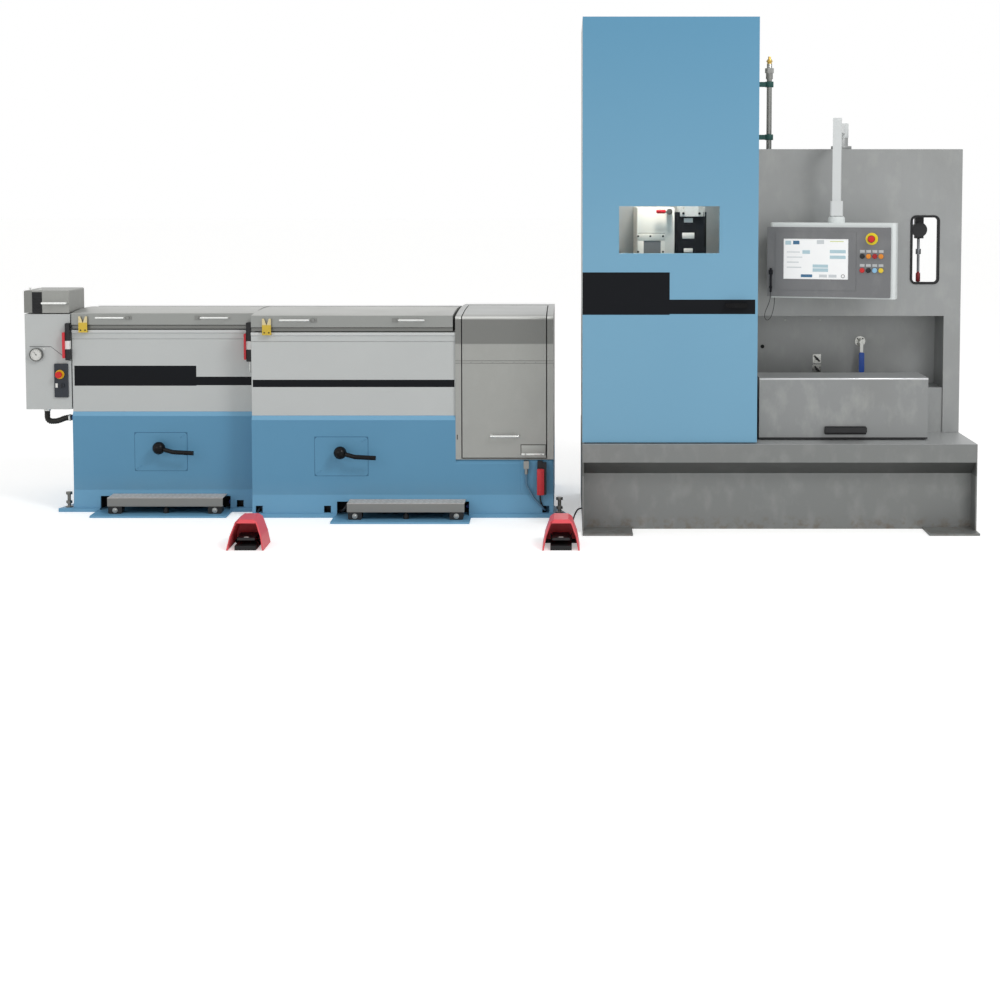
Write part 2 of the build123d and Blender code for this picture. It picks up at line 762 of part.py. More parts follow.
def pedal_hood(x):
    """Hood folded like a tent, open to the front, its sides cut back towards the floor."""
    half = pedal_hood_width / 2
    top = pedal_hood_top_width / 2
    wall = pedal_hood_wall
    outer = along_y(
        polygon(
            (x - half, 0),
            (x - half + 14, 70),
            (x - top, pedal_hood_height - 14),
            (x - top + 20, pedal_hood_height),
            (x + top - 20, pedal_hood_height),
            (x + top, pedal_hood_height - 14),
            (x + half - 14, 70),
            (x + half, 0),
        ),
        pedal_front,
        pedal_front + pedal_length,
    )
    inner = along_y(
        polygon(
            (x - half + wall + 2, -1),
            (x - half + 14 + wall, 68),
            (x - top + wall, pedal_hood_height - 14 - wall),
            (x + top - wall, pedal_hood_height - 14 - wall),
            (x + half - 14 - wall, 68),
            (x + half - wall - 2, -1),
        ),
        pedal_front - 1,
        pedal_front + pedal_length - wall,
    )
    brow = along_x(
        polygon(
            (pedal_front - 1, 24),
            (pedal_front + 44, pedal_hood_height + 1),
            (pedal_front - 1, pedal_hood_height + 1),
        ),
        x - half - 1,
        x + half + 1,
    )
    return outer - inner - brow


def pedal_base(x):
    """Black base with two ears that hold the pedal's pin and a block for the cord."""
    half = pedal_width / 2 + 10
    y1 = pedal_front + pedal_length - pedal_hood_wall
    base = block(x - half, x + half, pedal_front + 10, y1, 0, pedal_base_height)
    for side in (x - half, x + half - 6):
        base += block(side, side + 6, pedal_pin_y - 14, pedal_pin_y + 14, pedal_base_height, pedal_pin_z + 12)
    base += rod((x - half, pedal_pin_y, pedal_pin_z), (x + half, pedal_pin_y, pedal_pin_z), pedal_pin_radius)
    side_x = pedal_hood_width / 2 - pedal_hood_wall - 7
    base += block(x - side_x, x + side_x, y1 - 22, y1, 0, pedal_base_height - 6)
    return base


def foot_pedal(x):
    """Ribbed treadle that turns about the pin at its back."""
    half = pedal_width / 2
    y0 = pedal_pin_y - pedal_reach
    outline = polygon(
        (y0, pedal_pin_z + 2),
        (y0 + 4, pedal_pin_z + 14),
        (pedal_pin_y - 12, pedal_pin_z + 22),
        (pedal_pin_y + 12, pedal_pin_z + 14),
        (pedal_pin_y + 12, pedal_pin_z - 11),
        (pedal_pin_y - 12, pedal_pin_z - 11),
        (pedal_pin_y - 18, pedal_pin_z + 2),
    )
    left = (x - half - 1, pedal_pin_y, pedal_pin_z)
    right = (x + half + 1, pedal_pin_y, pedal_pin_z)
    return along_x(outline, x - half, x + half) - rod(left, right, pedal_pin_radius + pin_gap)


write("foot_hoods", *[pedal_hood(x) for x in pedal_places])
write("foot_bases", *[pedal_base(x) for x in pedal_places])
write("foot_pedal_1", foot_pedal(pedal_places[0]))
write("foot_pedal_2", foot_pedal(pedal_places[1]))

# Annealer base: fascia, slope, set-back toe panel, end plates and slotted feet
slope_z = base_top - fascia_height
toe_z = slope_z - slope_height


def end_plate(x0, x1):
    outline = polygon((0, foot_thickness), (0, slope_z), (toe_depth, slope_z), (toe_depth, foot_thickness))
    return along_x(outline, x0, x1)


base = along_x(
    polygon(
        (0, slope_z),
        (0, base_top),
        (annealer_depth, base_top),
        (annealer_depth, 0),
        (toe_depth, 0),
        (toe_depth, toe_z),
    ),
    annealer_x0,
    annealer_x1,
)
base += end_plate(annealer_x0, annealer_x0 + side_plate) + end_plate(annealer_x1 - side_plate, annealer_x1)
door_pin_x = annealer_x0 + 8.0
door_pin_y = door_front + 22.0
door_pin_radius = 5.0
door_bottom = base_top + run_gap
door_top = tower_top + 6.0
door_pin_depth = 34.0
door_pin_top = door_bottom + door_pin_depth
base += rod((door_pin_x, door_pin_y, base_top - 1), (door_pin_x, door_pin_y, door_pin_top), door_pin_radius)


def base_foot(x0):
    """Foot plate in front of the toe panel, with a slot for the anchor bolt."""
    foot = block(x0, x0 + foot_width, toe_depth - foot_length, toe_depth, 0, foot_thickness)
    slot = Pos(x0 + foot_width * 0.62, toe_depth - foot_length * 0.62, foot_thickness / 2)
    return foot - extrude(slot * SlotOverall(70, 22), amount=foot_thickness, both=True)


write("annealer_base", base + base_foot(annealer_x0) + base_foot(annealer_x1 - foot_width))

# Tower cabinet, open to the front, and its full-height door. The upper pivot is a tongue on the tower that
# reaches into a notch behind the door's front sheet.
tower_front = door_front + door_thickness + 8.0
tower = block(annealer_x0, tower_x1, tower_front, tower_back, base_top, tower_top)
cavity_x = (annealer_x0 + tower_wall, tower_x1 - tower_wall)
cavity_z = (base_top + tower_wall, tower_top - tower_wall)
tower -= block(*cavity_x, tower_front - 1, tower_back - tower_wall, *cavity_z)
tongue_z = (tower_top - 14.0, tower_top - 4.0)
notch_z = tongue_z[0] - run_gap
tongue = block(door_pin_x - 8, door_pin_x + 18, door_pin_y - 9, tower_front + 1, *tongue_z)
upper_pin_z = notch_z - door_pin_depth
tongue += rod((door_pin_x, door_pin_y, tongue_z[1]), (door_pin_x, door_pin_y, upper_pin_z), door_pin_radius)
write("annealer_cabinet", tower + tongue)
window_x = (annealer_x0 + 198.0, annealer_x0 + 743.0)
window_z = (1523.0, 1779.0)
window_pane = 8.0
door = block(annealer_x0, tower_x1, door_front, door_front + door_thickness, door_bottom, door_top)
door -= block(*window_x, door_front - 1, door_front + door_thickness + 1, *window_z)
notch_x = (annealer_x0 - 1, door_pin_x + 32)
notch_y = (door_front + run_gap, door_front + door_thickness + 1)
door -= block(*notch_x, *notch_y, notch_z, door_top + 1)
for z0, z1 in ((door_bottom - 1, door_pin_top + 2), (upper_pin_z - 2, notch_z + 1)):
    door -= rod((door_pin_x, door_pin_y, z0), (door_pin_x, door_pin_y, z1), door_pin_radius + pin_gap)
pane_y = door_front + 12.0
write("door_window", block(*window_x, pane_y, pane_y + window_pane, *window_z))
lever_x = annealer_x0 + 879.0
lever_z = 1243.0
lever_gap = 14.0
lever_y = door_front - lever_gap
spindle = rod((lever_x, door_front, lever_z), (lever_x, lever_y - 2, lever_z), 8)
spindle += rod((lever_x, door_front, lever_z), (lever_x, door_front - 5, lever_z), 20)
write("annealer_door", door + spindle)
handle = rounded_plate(lever_x - 108, lever_x + 18, lever_z - 13, lever_z + 13, lever_y - 14, lever_y + 4, 12)
handle -= block(lever_x - 120, lever_x - 26, lever_y - 4, lever_y + 5, lever_z - 14, lever_z + 14)
handle -= rod((lever_x, lever_y + 5, lever_z), (lever_x, lever_y - 2.3, lever_z), 8 + pin_gap)
write("door_lever", handle)

# Behind the window: a cream drive housing, a black inductor column and its hexagon flange
inner_y0 = 430.0
inner_back = tower_back - tower_wall
drive_x = (annealer_x0 + 310.0, annealer_x0 + 522.0)
drive_z = (1390.0, 1840.0)
drive = rounded_plate(*drive_x, *drive_z, inner_y0, inner_back, 6)
drive -= block(drive_x[0] + 38, drive_x[1] - 78, inner_y0 - 1, inner_y0 + 8, 1410, 1612)
grip_z = 1770.0
grip_x = drive_x[1] - 28
drive += rod((grip_x, inner_y0, grip_z), (grip_x, inner_y0 - 26, grip_z), 17)
grip_y = inner_y0 - 34.0
write("drive_housing", drive + rod((grip_x - 84, grip_y, grip_z), (grip_x + 10, grip_y, grip_z), 12))
column_x = annealer_x0 + 615.0
column_half = 88.0
column_y = inner_y0 + column_half + 6
flange_z = (1742.0, 1790.0)
column_span = (column_x - column_half, column_x + column_half)
column = block(*column_span, inner_y0 + 6, column_y + column_half, base_top + tower_wall, flange_z[0])
column = chamfer(column.edges().filter_by(Axis.Z), 16)
column += block(column_x - 40, column_x + 40, column_y, inner_back, 1500, 1600)
write("inductor_column", column)
neck_x = column_x + 4
neck = hexagon(neck_x, column_y, *flange_z, 132)
neck += rod((neck_x, column_y, flange_z[1]), (neck_x, column_y, tower_top - tower_wall), 44)
write("column_flange", neck)

# Wall beside the tower: a front plate with returns, open at the back. The rubber round its slot shares a
# node with the seal between the drawing machine's sections.
slot_x = (annealer_x1 - 286.0, annealer_x1 - 128.0)
slot_z = (1336.0, 1719.0)
slot_radius = 28.0
trim_width = 13.0
seal_inset = 10.0
seal_front = section_1_front + bevel_depth + seal_inset
wall_x0 = tower_x1 + 4.0
wall_back = wall_front + wall_return
plate_back = wall_front + wall_thickness
wall = block(wall_x0, annealer_x1, wall_front, plate_back, base_top, wall_top)
wall -= block(wall_x0 - 1, post_x0, wall_front - 1, plate_back + 1, base_top - 1, recess_top)
wall -= rounded_plate(*slot_x, *slot_z, wall_front - 1, plate_back + 1, slot_radius)
wall += block(annealer_x1 - wall_thickness, annealer_x1, plate_back, wall_back, base_top, wall_top)
wall += block(wall_x0, annealer_x1, plate_back, wall_back, wall_top - wall_thickness, wall_top)
write("wall", wall)
trim = rounded_plate(
    slot_x[0] - 4, slot_x[1] + 4, slot_z[0] - 4, slot_z[1] + 4, wall_front - 6, wall_front, slot_radius + 4
)
trim += rounded_plate(*slot_x, *slot_z, wall_front, plate_back, slot_radius)
inner_x = (slot_x[0] + trim_width - 4, slot_x[1] - trim_width + 4)
inner_z = (slot_z[0] + trim_width - 4, slot_z[1] - trim_width + 4)
trim -= rounded_plate(*inner_x, *inner_z, wall_front - 7, plate_back + 1, slot_radius - 9)
seal_z = (seal_inset, panel_top - seal_inset)
seal = block(section_1_x1, section_2_x0, seal_front, machine_back - seal_inset, *seal_z)
write("rubber_seals", trim, seal)

# Recess behind the quench hood, and the quench tank at its foot
recess_plate = 8.0
recess_side_x = (post_x0, post_x0 + recess_plate)
recess_span = (wall_x0, recess_side_x[1])
recess_roof = recess_top + recess_plate
recess = block(*recess_span, plate_back, recess_back, recess_top, recess_roof)
recess += block(*recess_side_x, plate_back, recess_back, base_top, recess_top)
recess += block(*recess_span, recess_back, recess_back + recess_plate, base_top, recess_roof)
write("recess", recess)
hood_x = (tower_x1 + 27.0, annealer_x1 - 239.0)
quench_front = 170.0
quench_back = 462.0
quench_top = 831.0
quench_hinge_y = quench_back + 14.0
quench_hinge_z = quench_top - 23.0
quench_sheet = 4.0
hood_hinges = (hood_x[0] + 150, hood_x[1] - 150)
tank = block(wall_x0, post_x0, tank_front, recess_back, base_top, tank_top)
quench = block(*hood_x, quench_front, quench_back, door_bottom, quench_top)
quench = fillet(quench.edges().filter_by(Axis.X).group_by(Axis.Z)[-1].sort_by(Axis.Y)[0], 7)
quench_inside_x = (hood_x[0] + quench_sheet, hood_x[1] - quench_sheet)
quench_inside_y = (quench_front + quench_sheet, quench_back + 1)
quench -= block(*quench_inside_x, *quench_inside_y, door_bottom - 1, quench_top - quench_sheet)
tank_cheek = standing_cheek(quench_hinge_y, quench_hinge_z, tank_front, tank_front + 30, tank_top - 1)
quench_leaf = (quench_back - leaf_length, quench_top - 15, quench_top - 3)
for x in hood_hinges:
    tank += hinge_fork(x, quench_hinge_y, quench_hinge_z, tank_cheek)
    quench += hinge_eye(x, quench_hinge_y, quench_hinge_z, *quench_leaf)
write("quench_tank", tank)
write("quench_hood", quench)
grip_middle = (hood_x[0] + hood_x[1]) / 2 + 10
grip_span = (grip_middle - 115, grip_middle + 115)
quench_grip = rounded_plate(*grip_span, 518, 562, quench_front - 14, quench_front, 6)
quench_grip += along_x(
    polygon(
        (quench_front - 40, 532),
        (quench_front - 34, 558),
        (quench_front - 14, 558),
        (quench_front - 14, 550),
        (quench_front - 30, 532),
    ),
    *grip_span,
)
write("quench_grip", quench_grip)

# Ball valve and toggle latches on the recess's back
valve_x = annealer_x1 - 528.0
valve_z = 986.0
valve_reach = 62.0
valve = rod((valve_x, recess_back, valve_z), (valve_x, recess_back - 6, valve_z), 30)
valve += rod((valve_x, recess_back - 6, valve_z), (valve_x, recess_back - 40, valve_z), 17)
valve += rod((valve_x, recess_back - 40, valve_z), (valve_x, recess_back - valve_reach, valve_z), 6)

lever_front = recess_back - valve_reach + 2
sleeve_x = (valve_x - 15, valve_x + 15)
sleeve = rounded_plate(*sleeve_x, valve_z - 176, valve_z - 60, lever_front - 10, lever_front + 8, 10)
flat = block(valve_x - 9, valve_x + 9, lever_front, lever_front + 5, valve_z - 70, valve_z)
flat += rod((valve_x, lever_front - 3, valve_z), (valve_x, lever_front + 5, valve_z), 13)
flat -= rod((valve_x, lever_front - 4, valve_z), (valve_x, lever_front + 9, valve_z), 6 + pin_gap)
write("valve_lever", sleeve + flat)
toggle_x = tower_x1 + 420.0


def toggle_latch(z):
    """Draw latch: a base plate, a bent lever and its hook."""
    plate = block(toggle_x - 24, toggle_x + 24, recess_back - 4, recess_back, z - 26, z + 26)
    arm = rod((toggle_x - 14, recess_back - 16, z + 16), (toggle_x + 16, recess_back - 16, z - 14), 5)
    return plate + arm + rod((toggle_x, recess_back, z), (toggle_x, recess_back - 20, z), 8)


write("recess_fittings", valve, toggle_latch(884.0), toggle_latch(824.0))

# Sensor pipe behind the slot
pipe_x = slot_x[0] + 58.0
pipe_y = plate_back + 60.0
pipe_z0 = recess_top + recess_plate
sensor = rod((pipe_x, pipe_y, pipe_z0), (pipe_x, pipe_y, wall_top - wall_thickness), 8)
sensor += rod((pipe_x, pipe_y, slot_z[0] + 8), (pipe_x, pipe_y, slot_z[0] + 56), 13)
sensor += rod((pipe_x, pipe_y, 1500), (pipe_x, pipe_y, 1530), 15)
sensor += rod((pipe_x, pipe_y - 40, 1640), (pipe_x, pipe_y, 1640), 42)
sensor += block(pipe_x - 24, pipe_x + 24, pipe_y - 28, pipe_y + 10, 1590, 1712)
write("sensor_pipe", sensor)

# Air pipe with its clamps on the tower's side
air_x = tower_x1 + 119.0
air_y = wall_front + 140.0
air_radius = 15.0
air_top = 2496.0
air = rod((air_x, air_y, wall_top), (air_x, air_y, air_top), air_radius)
air += rod((air_x, air_y, air_top), (air_x, air_y, air_top + 34), 20)
air += hexagon(air_x, air_y, air_top + 34, air_top + 62, 44)
air += rod((air_x, air_y, air_top + 62), (air_x, air_y, air_top + 88), 15)
air += rod((air_x, air_y, air_top + 88), (air_x, air_y, air_top + 112), 13)
air += hexagon(air_x, air_y, air_top + 96, air_top + 106, 30)
write("air_pipe", air + rod((air_x, air_y, air_top + 112), (air_x, air_y, air_top + 128), 8))
clamp_solids = []
for z in (air_top - 30, air_top - 330):
    clamp = rod((air_x, air_y, z - 16), (air_x, air_y, z + 16), air_radius + 9)
    clamp += block(tower_x1, air_x, air_y - 12, air_y + 12, z - 14, z + 14)
    clamp_solids.append(clamp - rod((air_x, air_y, z - 17), (air_x, air_y, z + 17), air_radius))
write("pipe_clamps", *clamp_solids)

# Support arm: a swivel on the wall's top, an arm to the front and a tube down to the panel
swivel_x = tower_x1 + 524.0
swivel_y = wall_front + 80.0
swivel_post_top = wall_top + 104.0
arm_x = tower_x1 + 452.0
arm_y = 230.0
tube_size = 46.0
tube_bottom = 1806.0
arm_top = 2262.0
mount = Pos(swivel_x, swivel_y, wall_top + 9) * Cylinder(58, 18)
mount += rod((swivel_x, swivel_y, wall_top + 18), (swivel_x, swivel_y, swivel_post_top - 40), 38)
mount += rod((swivel_x, swivel_y, swivel_post_top - 40), (swivel_x, swivel_y, swivel_post_top + 20), 20)
write("arm_mount", mount)
hub_z0 = swivel_post_top - 40 + pin_gap
arm_reach = hypot(swivel_x - arm_x, swivel_y - arm_y)
arm_way = (arm_x - swivel_x, arm_y - swivel_y, 0)
arm_place = Plane(origin=(swivel_x, swivel_y, 0), x_dir=arm_way, z_dir=(0, 0, 1))
half = tube_size / 2
beam = block(0, arm_reach, -half, half, swivel_post_top - 18, swivel_post_top + 34)
tube = block(arm_reach - half, arm_reach + half, -half, half, tube_bottom, arm_top - 34)
cap = block(arm_reach - half, arm_reach + half, -half, half, arm_top - 34, arm_top)
cap = fillet(cap.edges().filter_by(Axis.Y).group_by(Axis.Z)[-1], 14)
hub = Pos(0, 0, (hub_z0 + swivel_post_top + 42) / 2) * Cylinder(40, swivel_post_top + 42 - hub_z0)
coupling = block(arm_reach - 34, arm_reach + 34, -34, 34, 1724, tube_bottom)
coupling = chamfer(coupling.edges().filter_by(Axis.Z), 8)
arm = arm_place * (beam + tube + cap + hub + coupling)
hub_bore_top = swivel_post_top + 20 + pin_gap
arm -= rod((swivel_x, swivel_y, hub_z0 - 1), (swivel_x, swivel_y, hub_bore_top), 20 + pin_gap)
swivel_pin = rod((arm_x, arm_y, 1700), (arm_x, arm_y, 1725), 16)
write("support_arm", arm + swivel_pin)

# Operator panel, turned a little towards the drawing machine
panel_turn = 16.0
panel_x = (-372.0, 306.0)
panel_z = (1278.0, 1662.0)
case_x = (-360.0, 332.0)
case_z = (1270.0, 1686.0)
case_y = (-58.0, 62.0)
plate_thickness = 12.0
panel_way = (cos(radians(panel_turn)), -sin(radians(panel_turn)), 0)
panel_place = Plane(origin=(arm_x, arm_y, 0), x_dir=panel_way, z_dir=(0, 0, 1))
case = block(*case_x, *case_y, *case_z)
case = fillet(case.edges().filter_by(Axis.Z), 20)
seat = Pos(0, 0, (case_z[1] + 1721) / 2) * Cylinder(46, 1721 - case_z[1])
seat = chamfer(seat.edges().group_by(Axis.Z)[-1], 8)
case += seat
case -= Pos(0, 0, 1699 + 11) * Cylinder(16 + pin_gap, 24)
write("panel_case", panel_place * case)
face_y = case_y[0] - plate_thickness
plate = rounded_plate(*panel_x, *panel_z, face_y, case_y[0], 4)

bezel_x = (-326.0, 118.0)
bezel_z = (1316.0, 1636.0)
screen_x = (-280.0, 76.0)
screen_z = (1376.0, 1598.0)
bezel = rounded_plate(*bezel_x, *bezel_z, face_y - 4, face_y, 3)
bezel -= block(*screen_x, face_y - 5, face_y + 1, *screen_z)
write("panel_plate", panel_place * (plate + bezel))
write("screen", panel_place * block(*screen_x, face_y - 2.5, face_y, *screen_z))
button_x0 = 152.0
button_pitch = 34.0
button_radius = 12.5
buttons = []
for row_z in (1505.0, 1428.0):
    for place in range(4):
        x = button_x0 + place * button_pitch
        ring = rod((x, face_y, row_z), (x, face_y - 5, row_z), button_radius)
        cap = rod((x, face_y - 5, row_z), (x, face_y - 10, row_z), button_radius - 3)
        buttons.append(panel_place * (ring + cap))

panel_stop = stop_button(button_x0 + 1.5 * button_pitch, face_y, 1600, 33, 13, 20)
write("panel_buttons", *buttons, panel_place * panel_stop)
stylus_x = -350.0
stylus_z = (1302.0, 1434.0)
stylus = rod((stylus_x, face_y - 11, stylus_z[0]), (stylus_x, face_y - 11, stylus_z[1]), 6)
stylus += block(stylus_x - 10, stylus_x + 10, face_y - 18, face_y, 1400, 1424)
stylus += block(stylus_x - 8, stylus_x + 8, face_y - 16, face_y, 1322, 1334)
write("stylus", panel_place * stylus)

# Cords: from the foot switches to the machines, and from the stylus back to its panel
foot_cord_radius = 4.5
stylus_cord_radius = 1.6


def cord_tube(name, points, radius):
    """Tube along straight runs joined by arcs that are as large as the runs allow."""
    points = [Vector(*point) for point in points]
    radii = []
    for before, here, after in zip(points, points[1:], points[2:]):
        half_turn = radians((here - before).get_angle(after - here)) / 2
        shorter = min((here - before).length, (after - here).length)
        radii.append(0.45 * shorter / tan(half_turn))
    path = FilletPolyline(*points, radius=radii)
    tube = sweep(Plane(origin=points[0], z_dir=points[1] - points[0]) * Circle(radius), path=path)
    print(name, "length", round(path.length), "smallest radius", round(min(radii)))
    return tube


floor = foot_cord_radius + 0.5
pedal_back = pedal_front + pedal_length
foot_1, foot_2 = pedal_places
cord_1_x = cord_port_x + port_size / 2
foot_cord_1 = (
    (foot_1, pedal_back, 11),
    (foot_1, pedal_back + 85, 11),
    (foot_1 - 8, pedal_back + 195, floor),
    (foot_1 - 34, pedal_back + 310, floor),
    (foot_1 - 60, pedal_back + 420, floor),
    (foot_1 - 72, pedal_back + 530, floor),
    (cord_1_x + 4, section_2_front - 92, 12),
    (cord_1_x, section_2_front - 44, 42),
    (cord_1_x, section_2_front + 6, 50),
    (cord_1_x, section_2_front + port_depth, 50),
)
foot_cord_2 = (
    (foot_2, pedal_back, 11),
    (foot_2, pedal_back + 62, 11),
    (foot_2 + 22, pedal_back + 135, floor),
    (foot_2 + 40, pedal_back + 205, floor),
    (foot_2 + 52, pedal_back + 262, 14),
    (foot_2 + 60, pedal_back + 302, 48),
    (foot_2 + 74, pedal_back + 328, 92),
    (foot_2 + 94, pedal_back + 334, 122),
    (annealer_x0, pedal_back + 334, 122),
)
write("foot_cord_1", cord_tube("foot_cord_1", foot_cord_1, foot_cord_radius))
write("foot_cord_2", cord_tube("foot_cord_2", foot_cord_2, foot_cord_radius))
cord_y = face_y - 11
stylus_cord = (
    (stylus_x, cord_y, stylus_z[0]),
    (stylus_x, cord_y, stylus_z[0] - 34),
    (stylus_x - 14, cord_y + 4, stylus_z[0] - 76),
    (stylus_x - 34, cord_y + 14, stylus_z[0] - 116),
    (stylus_x - 38, cord_y + 28, stylus_z[0] - 148),
    (stylus_x - 24, cord_y + 42, stylus_z[0] - 164),
    (stylus_x - 6, cord_y + 56, stylus_z[0] - 146),
    (stylus_x + 4, cord_y + 66, stylus_z[0] - 108),
    (stylus_x + 10, cord_y + 74, stylus_z[0] - 68),
    (stylus_x + 10, cord_y + 74, case_z[0]),
)
write("stylus_cord", panel_place * cord_tube("stylus_cord", stylus_cord, stylus_cord_radius))
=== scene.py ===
"""Looks of the wire drawing line: a two-section drawing machine and an induction annealer.

Metres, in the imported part's frame. Places are written as part.py has them, in millimetres from the line's
left end and from the annealer's front face, and at() turns them into the frame.
"""
import math

import bmesh
import bpy
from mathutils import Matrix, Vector


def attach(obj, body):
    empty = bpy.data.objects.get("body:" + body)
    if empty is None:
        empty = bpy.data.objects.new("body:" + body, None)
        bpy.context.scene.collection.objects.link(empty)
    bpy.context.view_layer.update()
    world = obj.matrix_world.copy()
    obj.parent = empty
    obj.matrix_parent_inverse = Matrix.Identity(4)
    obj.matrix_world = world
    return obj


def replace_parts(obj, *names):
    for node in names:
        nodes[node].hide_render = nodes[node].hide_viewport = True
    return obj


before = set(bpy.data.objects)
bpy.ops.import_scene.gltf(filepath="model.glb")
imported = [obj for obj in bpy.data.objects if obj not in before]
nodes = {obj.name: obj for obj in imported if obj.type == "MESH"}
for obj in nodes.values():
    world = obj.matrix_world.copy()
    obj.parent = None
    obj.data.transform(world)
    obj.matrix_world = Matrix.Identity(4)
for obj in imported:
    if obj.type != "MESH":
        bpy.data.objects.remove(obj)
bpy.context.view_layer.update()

MIDDLE_X = 2686.0
MIDDLE_Y = 555.0


def at(x, y, z):
    """A place of part.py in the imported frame, in metres."""
    return Vector(((x - MIDDLE_X) / 1000, (y - MIDDLE_Y) / 1000, z / 1000))


def linear(code):
    """A colour written as six hexadecimal digits, made linear."""
    shades = [int(code[place : place + 2], 16) / 255 for place in (0, 2, 4)]
    return tuple(s / 12.92 if s <= 0.04045 else ((s + 0.055) / 1.055) ** 2.4 for s in shades) + (1.0,)


def add_node(tree, kind, settings=None, inputs=None):
    """Makes a shader node: its settings first, then the values or links of its sockets."""
    node = tree.nodes.new(kind)
    for name, value in (settings or {}).items():
        setattr(node, name, value)
    for name, value in (inputs or {}).items():
        value = getattr(value, "socket", value)
        if isinstance(value, bpy.types.NodeSocket):
            tree.links.new(value, node.inputs[name])
        else:
            node.inputs[name].default_value = value
    return node


class Sum:
    """A shader value that takes part in ordinary arithmetic."""

    def __init__(self, tree, socket):
        self.tree = tree
        self.socket = socket

    def math(self, kind, *others, clamp=False):
        values = dict(enumerate((self, *others)))
        node = add_node(self.tree, "ShaderNodeMath", {"operation": kind, "use_clamp": clamp}, values)
        return Sum(self.tree, node.outputs[0])

    def __add__(self, other):
        return self.math("ADD", other)

    def __sub__(self, other):
        return self.math("SUBTRACT", other)

    def __rsub__(self, other):
        return (self * -1.0) + other

    def __mul__(self, other):
        return self.math("MULTIPLY", other)

    def __truediv__(self, other):
        return self.math("DIVIDE", other)

    def __pow__(self, other):
        return self.math("POWER", other)

    __radd__ = __add__

    def clamped(self):
        return self.math("ADD", 0.0, clamp=True)

    def above(self, edge, soft=0.0004):
        """1 where the value is over the edge, 0 below, with a narrow ramp between."""
        return ((self - edge) / soft).clamped()

    def between(self, low, high, soft=0.0004):
        return self.above(low, soft) * (1.0 - self.above(high, soft))


class Finish:
    """A procedural material: colours are laid over each other, then the surface is built."""

    def __init__(self, name, color, roughness=0.5, metallic=0.0, coat=0.0, specular=0.5):
        self.material = bpy.data.materials.new(name)
        self.material.use_nodes = True
        self.tree = self.material.node_tree
        self.shader = self.tree.nodes["Principled BSDF"]
        self.place = add_node(self.tree, "ShaderNodeTexCoord").outputs["Object"]
        split = add_node(self.tree, "ShaderNodeSeparateXYZ", None, {0: self.place})
        self.x, self.y, self.z = (Sum(self.tree, socket) for socket in split.outputs)
        self.color = linear(color)
        self.rough = roughness
        self.metal = metallic
        self.height = None
        self.shader.inputs["Coat Weight"].default_value = coat
        self.shader.inputs["Coat Roughness"].default_value = 0.12
        self.shader.inputs["Specular IOR Level"].default_value = specular

    def noise(self, scale, detail=3.0, stretch=(1.0, 1.0, 1.0), roughness=0.55):
        """Cloudy value round 0.5; scale is in features per metre."""
        factors = [scale * part for part in stretch]
        multiply = {"operation": "MULTIPLY"}
        spread = add_node(self.tree, "ShaderNodeVectorMath", multiply, {0: self.place, 1: factors})
        inputs = {"Vector": spread.outputs[0], "Scale": 1.0, "Detail": detail, "Roughness": roughness}
        return Sum(self.tree, add_node(self.tree, "ShaderNodeTexNoise", None, inputs).outputs[0])

    def tint(self, where, color, rough=None, metal=None):
        """Lays another colour, and its roughness and metalness, where the mask is 1."""
        inputs = {0: where, 6: self.color, 7: linear(color)}
        self.color = add_node(self.tree, "ShaderNodeMix", {"data_type": "RGBA"}, inputs).outputs[2]
        if rough is not None:
            self.rough = where * rough + (1.0 - where) * self.rough
        if metal is not None:
            self.metal = where * metal + (1.0 - where) * self.metal
        return self

    def box(self, low, high, soft=0.0004):
        """1 inside a box between two places of part.py."""
        near, far = at(*low), at(*high)
        mask = self.x.between(near.x, far.x, soft)
        return mask * self.y.between(near.y, far.y, soft) * self.z.between(near.z, far.z, soft)

    def disc(self, x, z, radius, soft=0.0004):
        """1 within a radius of an axis along Y."""
        centre = at(x, 0, z)
        reach = ((self.x - centre.x) ** 2.0 + (self.z - centre.z) ** 2.0) ** 0.5
        return 1.0 - reach.above(radius / 1000, soft)

    def before(self, y):
        """1 on what is nearer to the operator than a place of part.py."""
        return 1.0 - self.y.above(at(0, y, 0).y)

    def raise_by(self, height):
        """Adds to the surface's height, in metres."""
        self.height = height if self.height is None else self.height + height
        return self

    def made(self):
        """Builds the surface and returns the material."""
        values = {"Base Color": self.color, "Roughness": self.rough, "Metallic": self.metal}
        if self.height is not None:
            inputs = {"Strength": 1.0, "Distance": 1.0, "Height": self.height}
            values["Normal"] = add_node(self.tree, "ShaderNodeBump", None, inputs).outputs[0]
        for name, value in values.items():
            value = getattr(value, "socket", value)
            if isinstance(value, bpy.types.NodeSocket):
                self.tree.links.new(value, self.shader.inputs[name])
            else:
                self.shader.inputs[name].default_value = value
        return self.material


def powder(name, shade, darker, roughness=0.42, specular=0.3):
    """Powder coat: orange peel, faint patches and a little dust towards the floor."""
    finish = Finish(name, shade, roughness=roughness, specular=specular)
    finish.tint((finish.noise(1.7, 3.0) - 0.35) * 0.9, darker)
    dust = (1.0 - finish.z.above(0.0, 0.22)) * finish.noise(9.0, 5.0)
    finish.tint(dust * 0.2, "b9bcb8", rough=0.7)
    finish.rough = finish.rough + (finish.noise(30.0, 4.0) - 0.5) * 0.08
    return finish.raise_by(finish.noise(420.0, 2.0) * 0.00005)


def bare_metal(name, shade, roughness=0.28):
    """Turned or drawn metal, a little dulled in patches."""
    finish = Finish(name, shade, roughness=roughness, metallic=0.9)
    patches = finish.noise(60.0, 4.0)
    finish.tint((patches - 0.5).clamped() * 0.8, "5b5b57")
    finish.rough = roughness + (patches - 0.5) * 0.3
    return finish.raise_by(finish.noise(900.0, 2.0) * 0.00003)


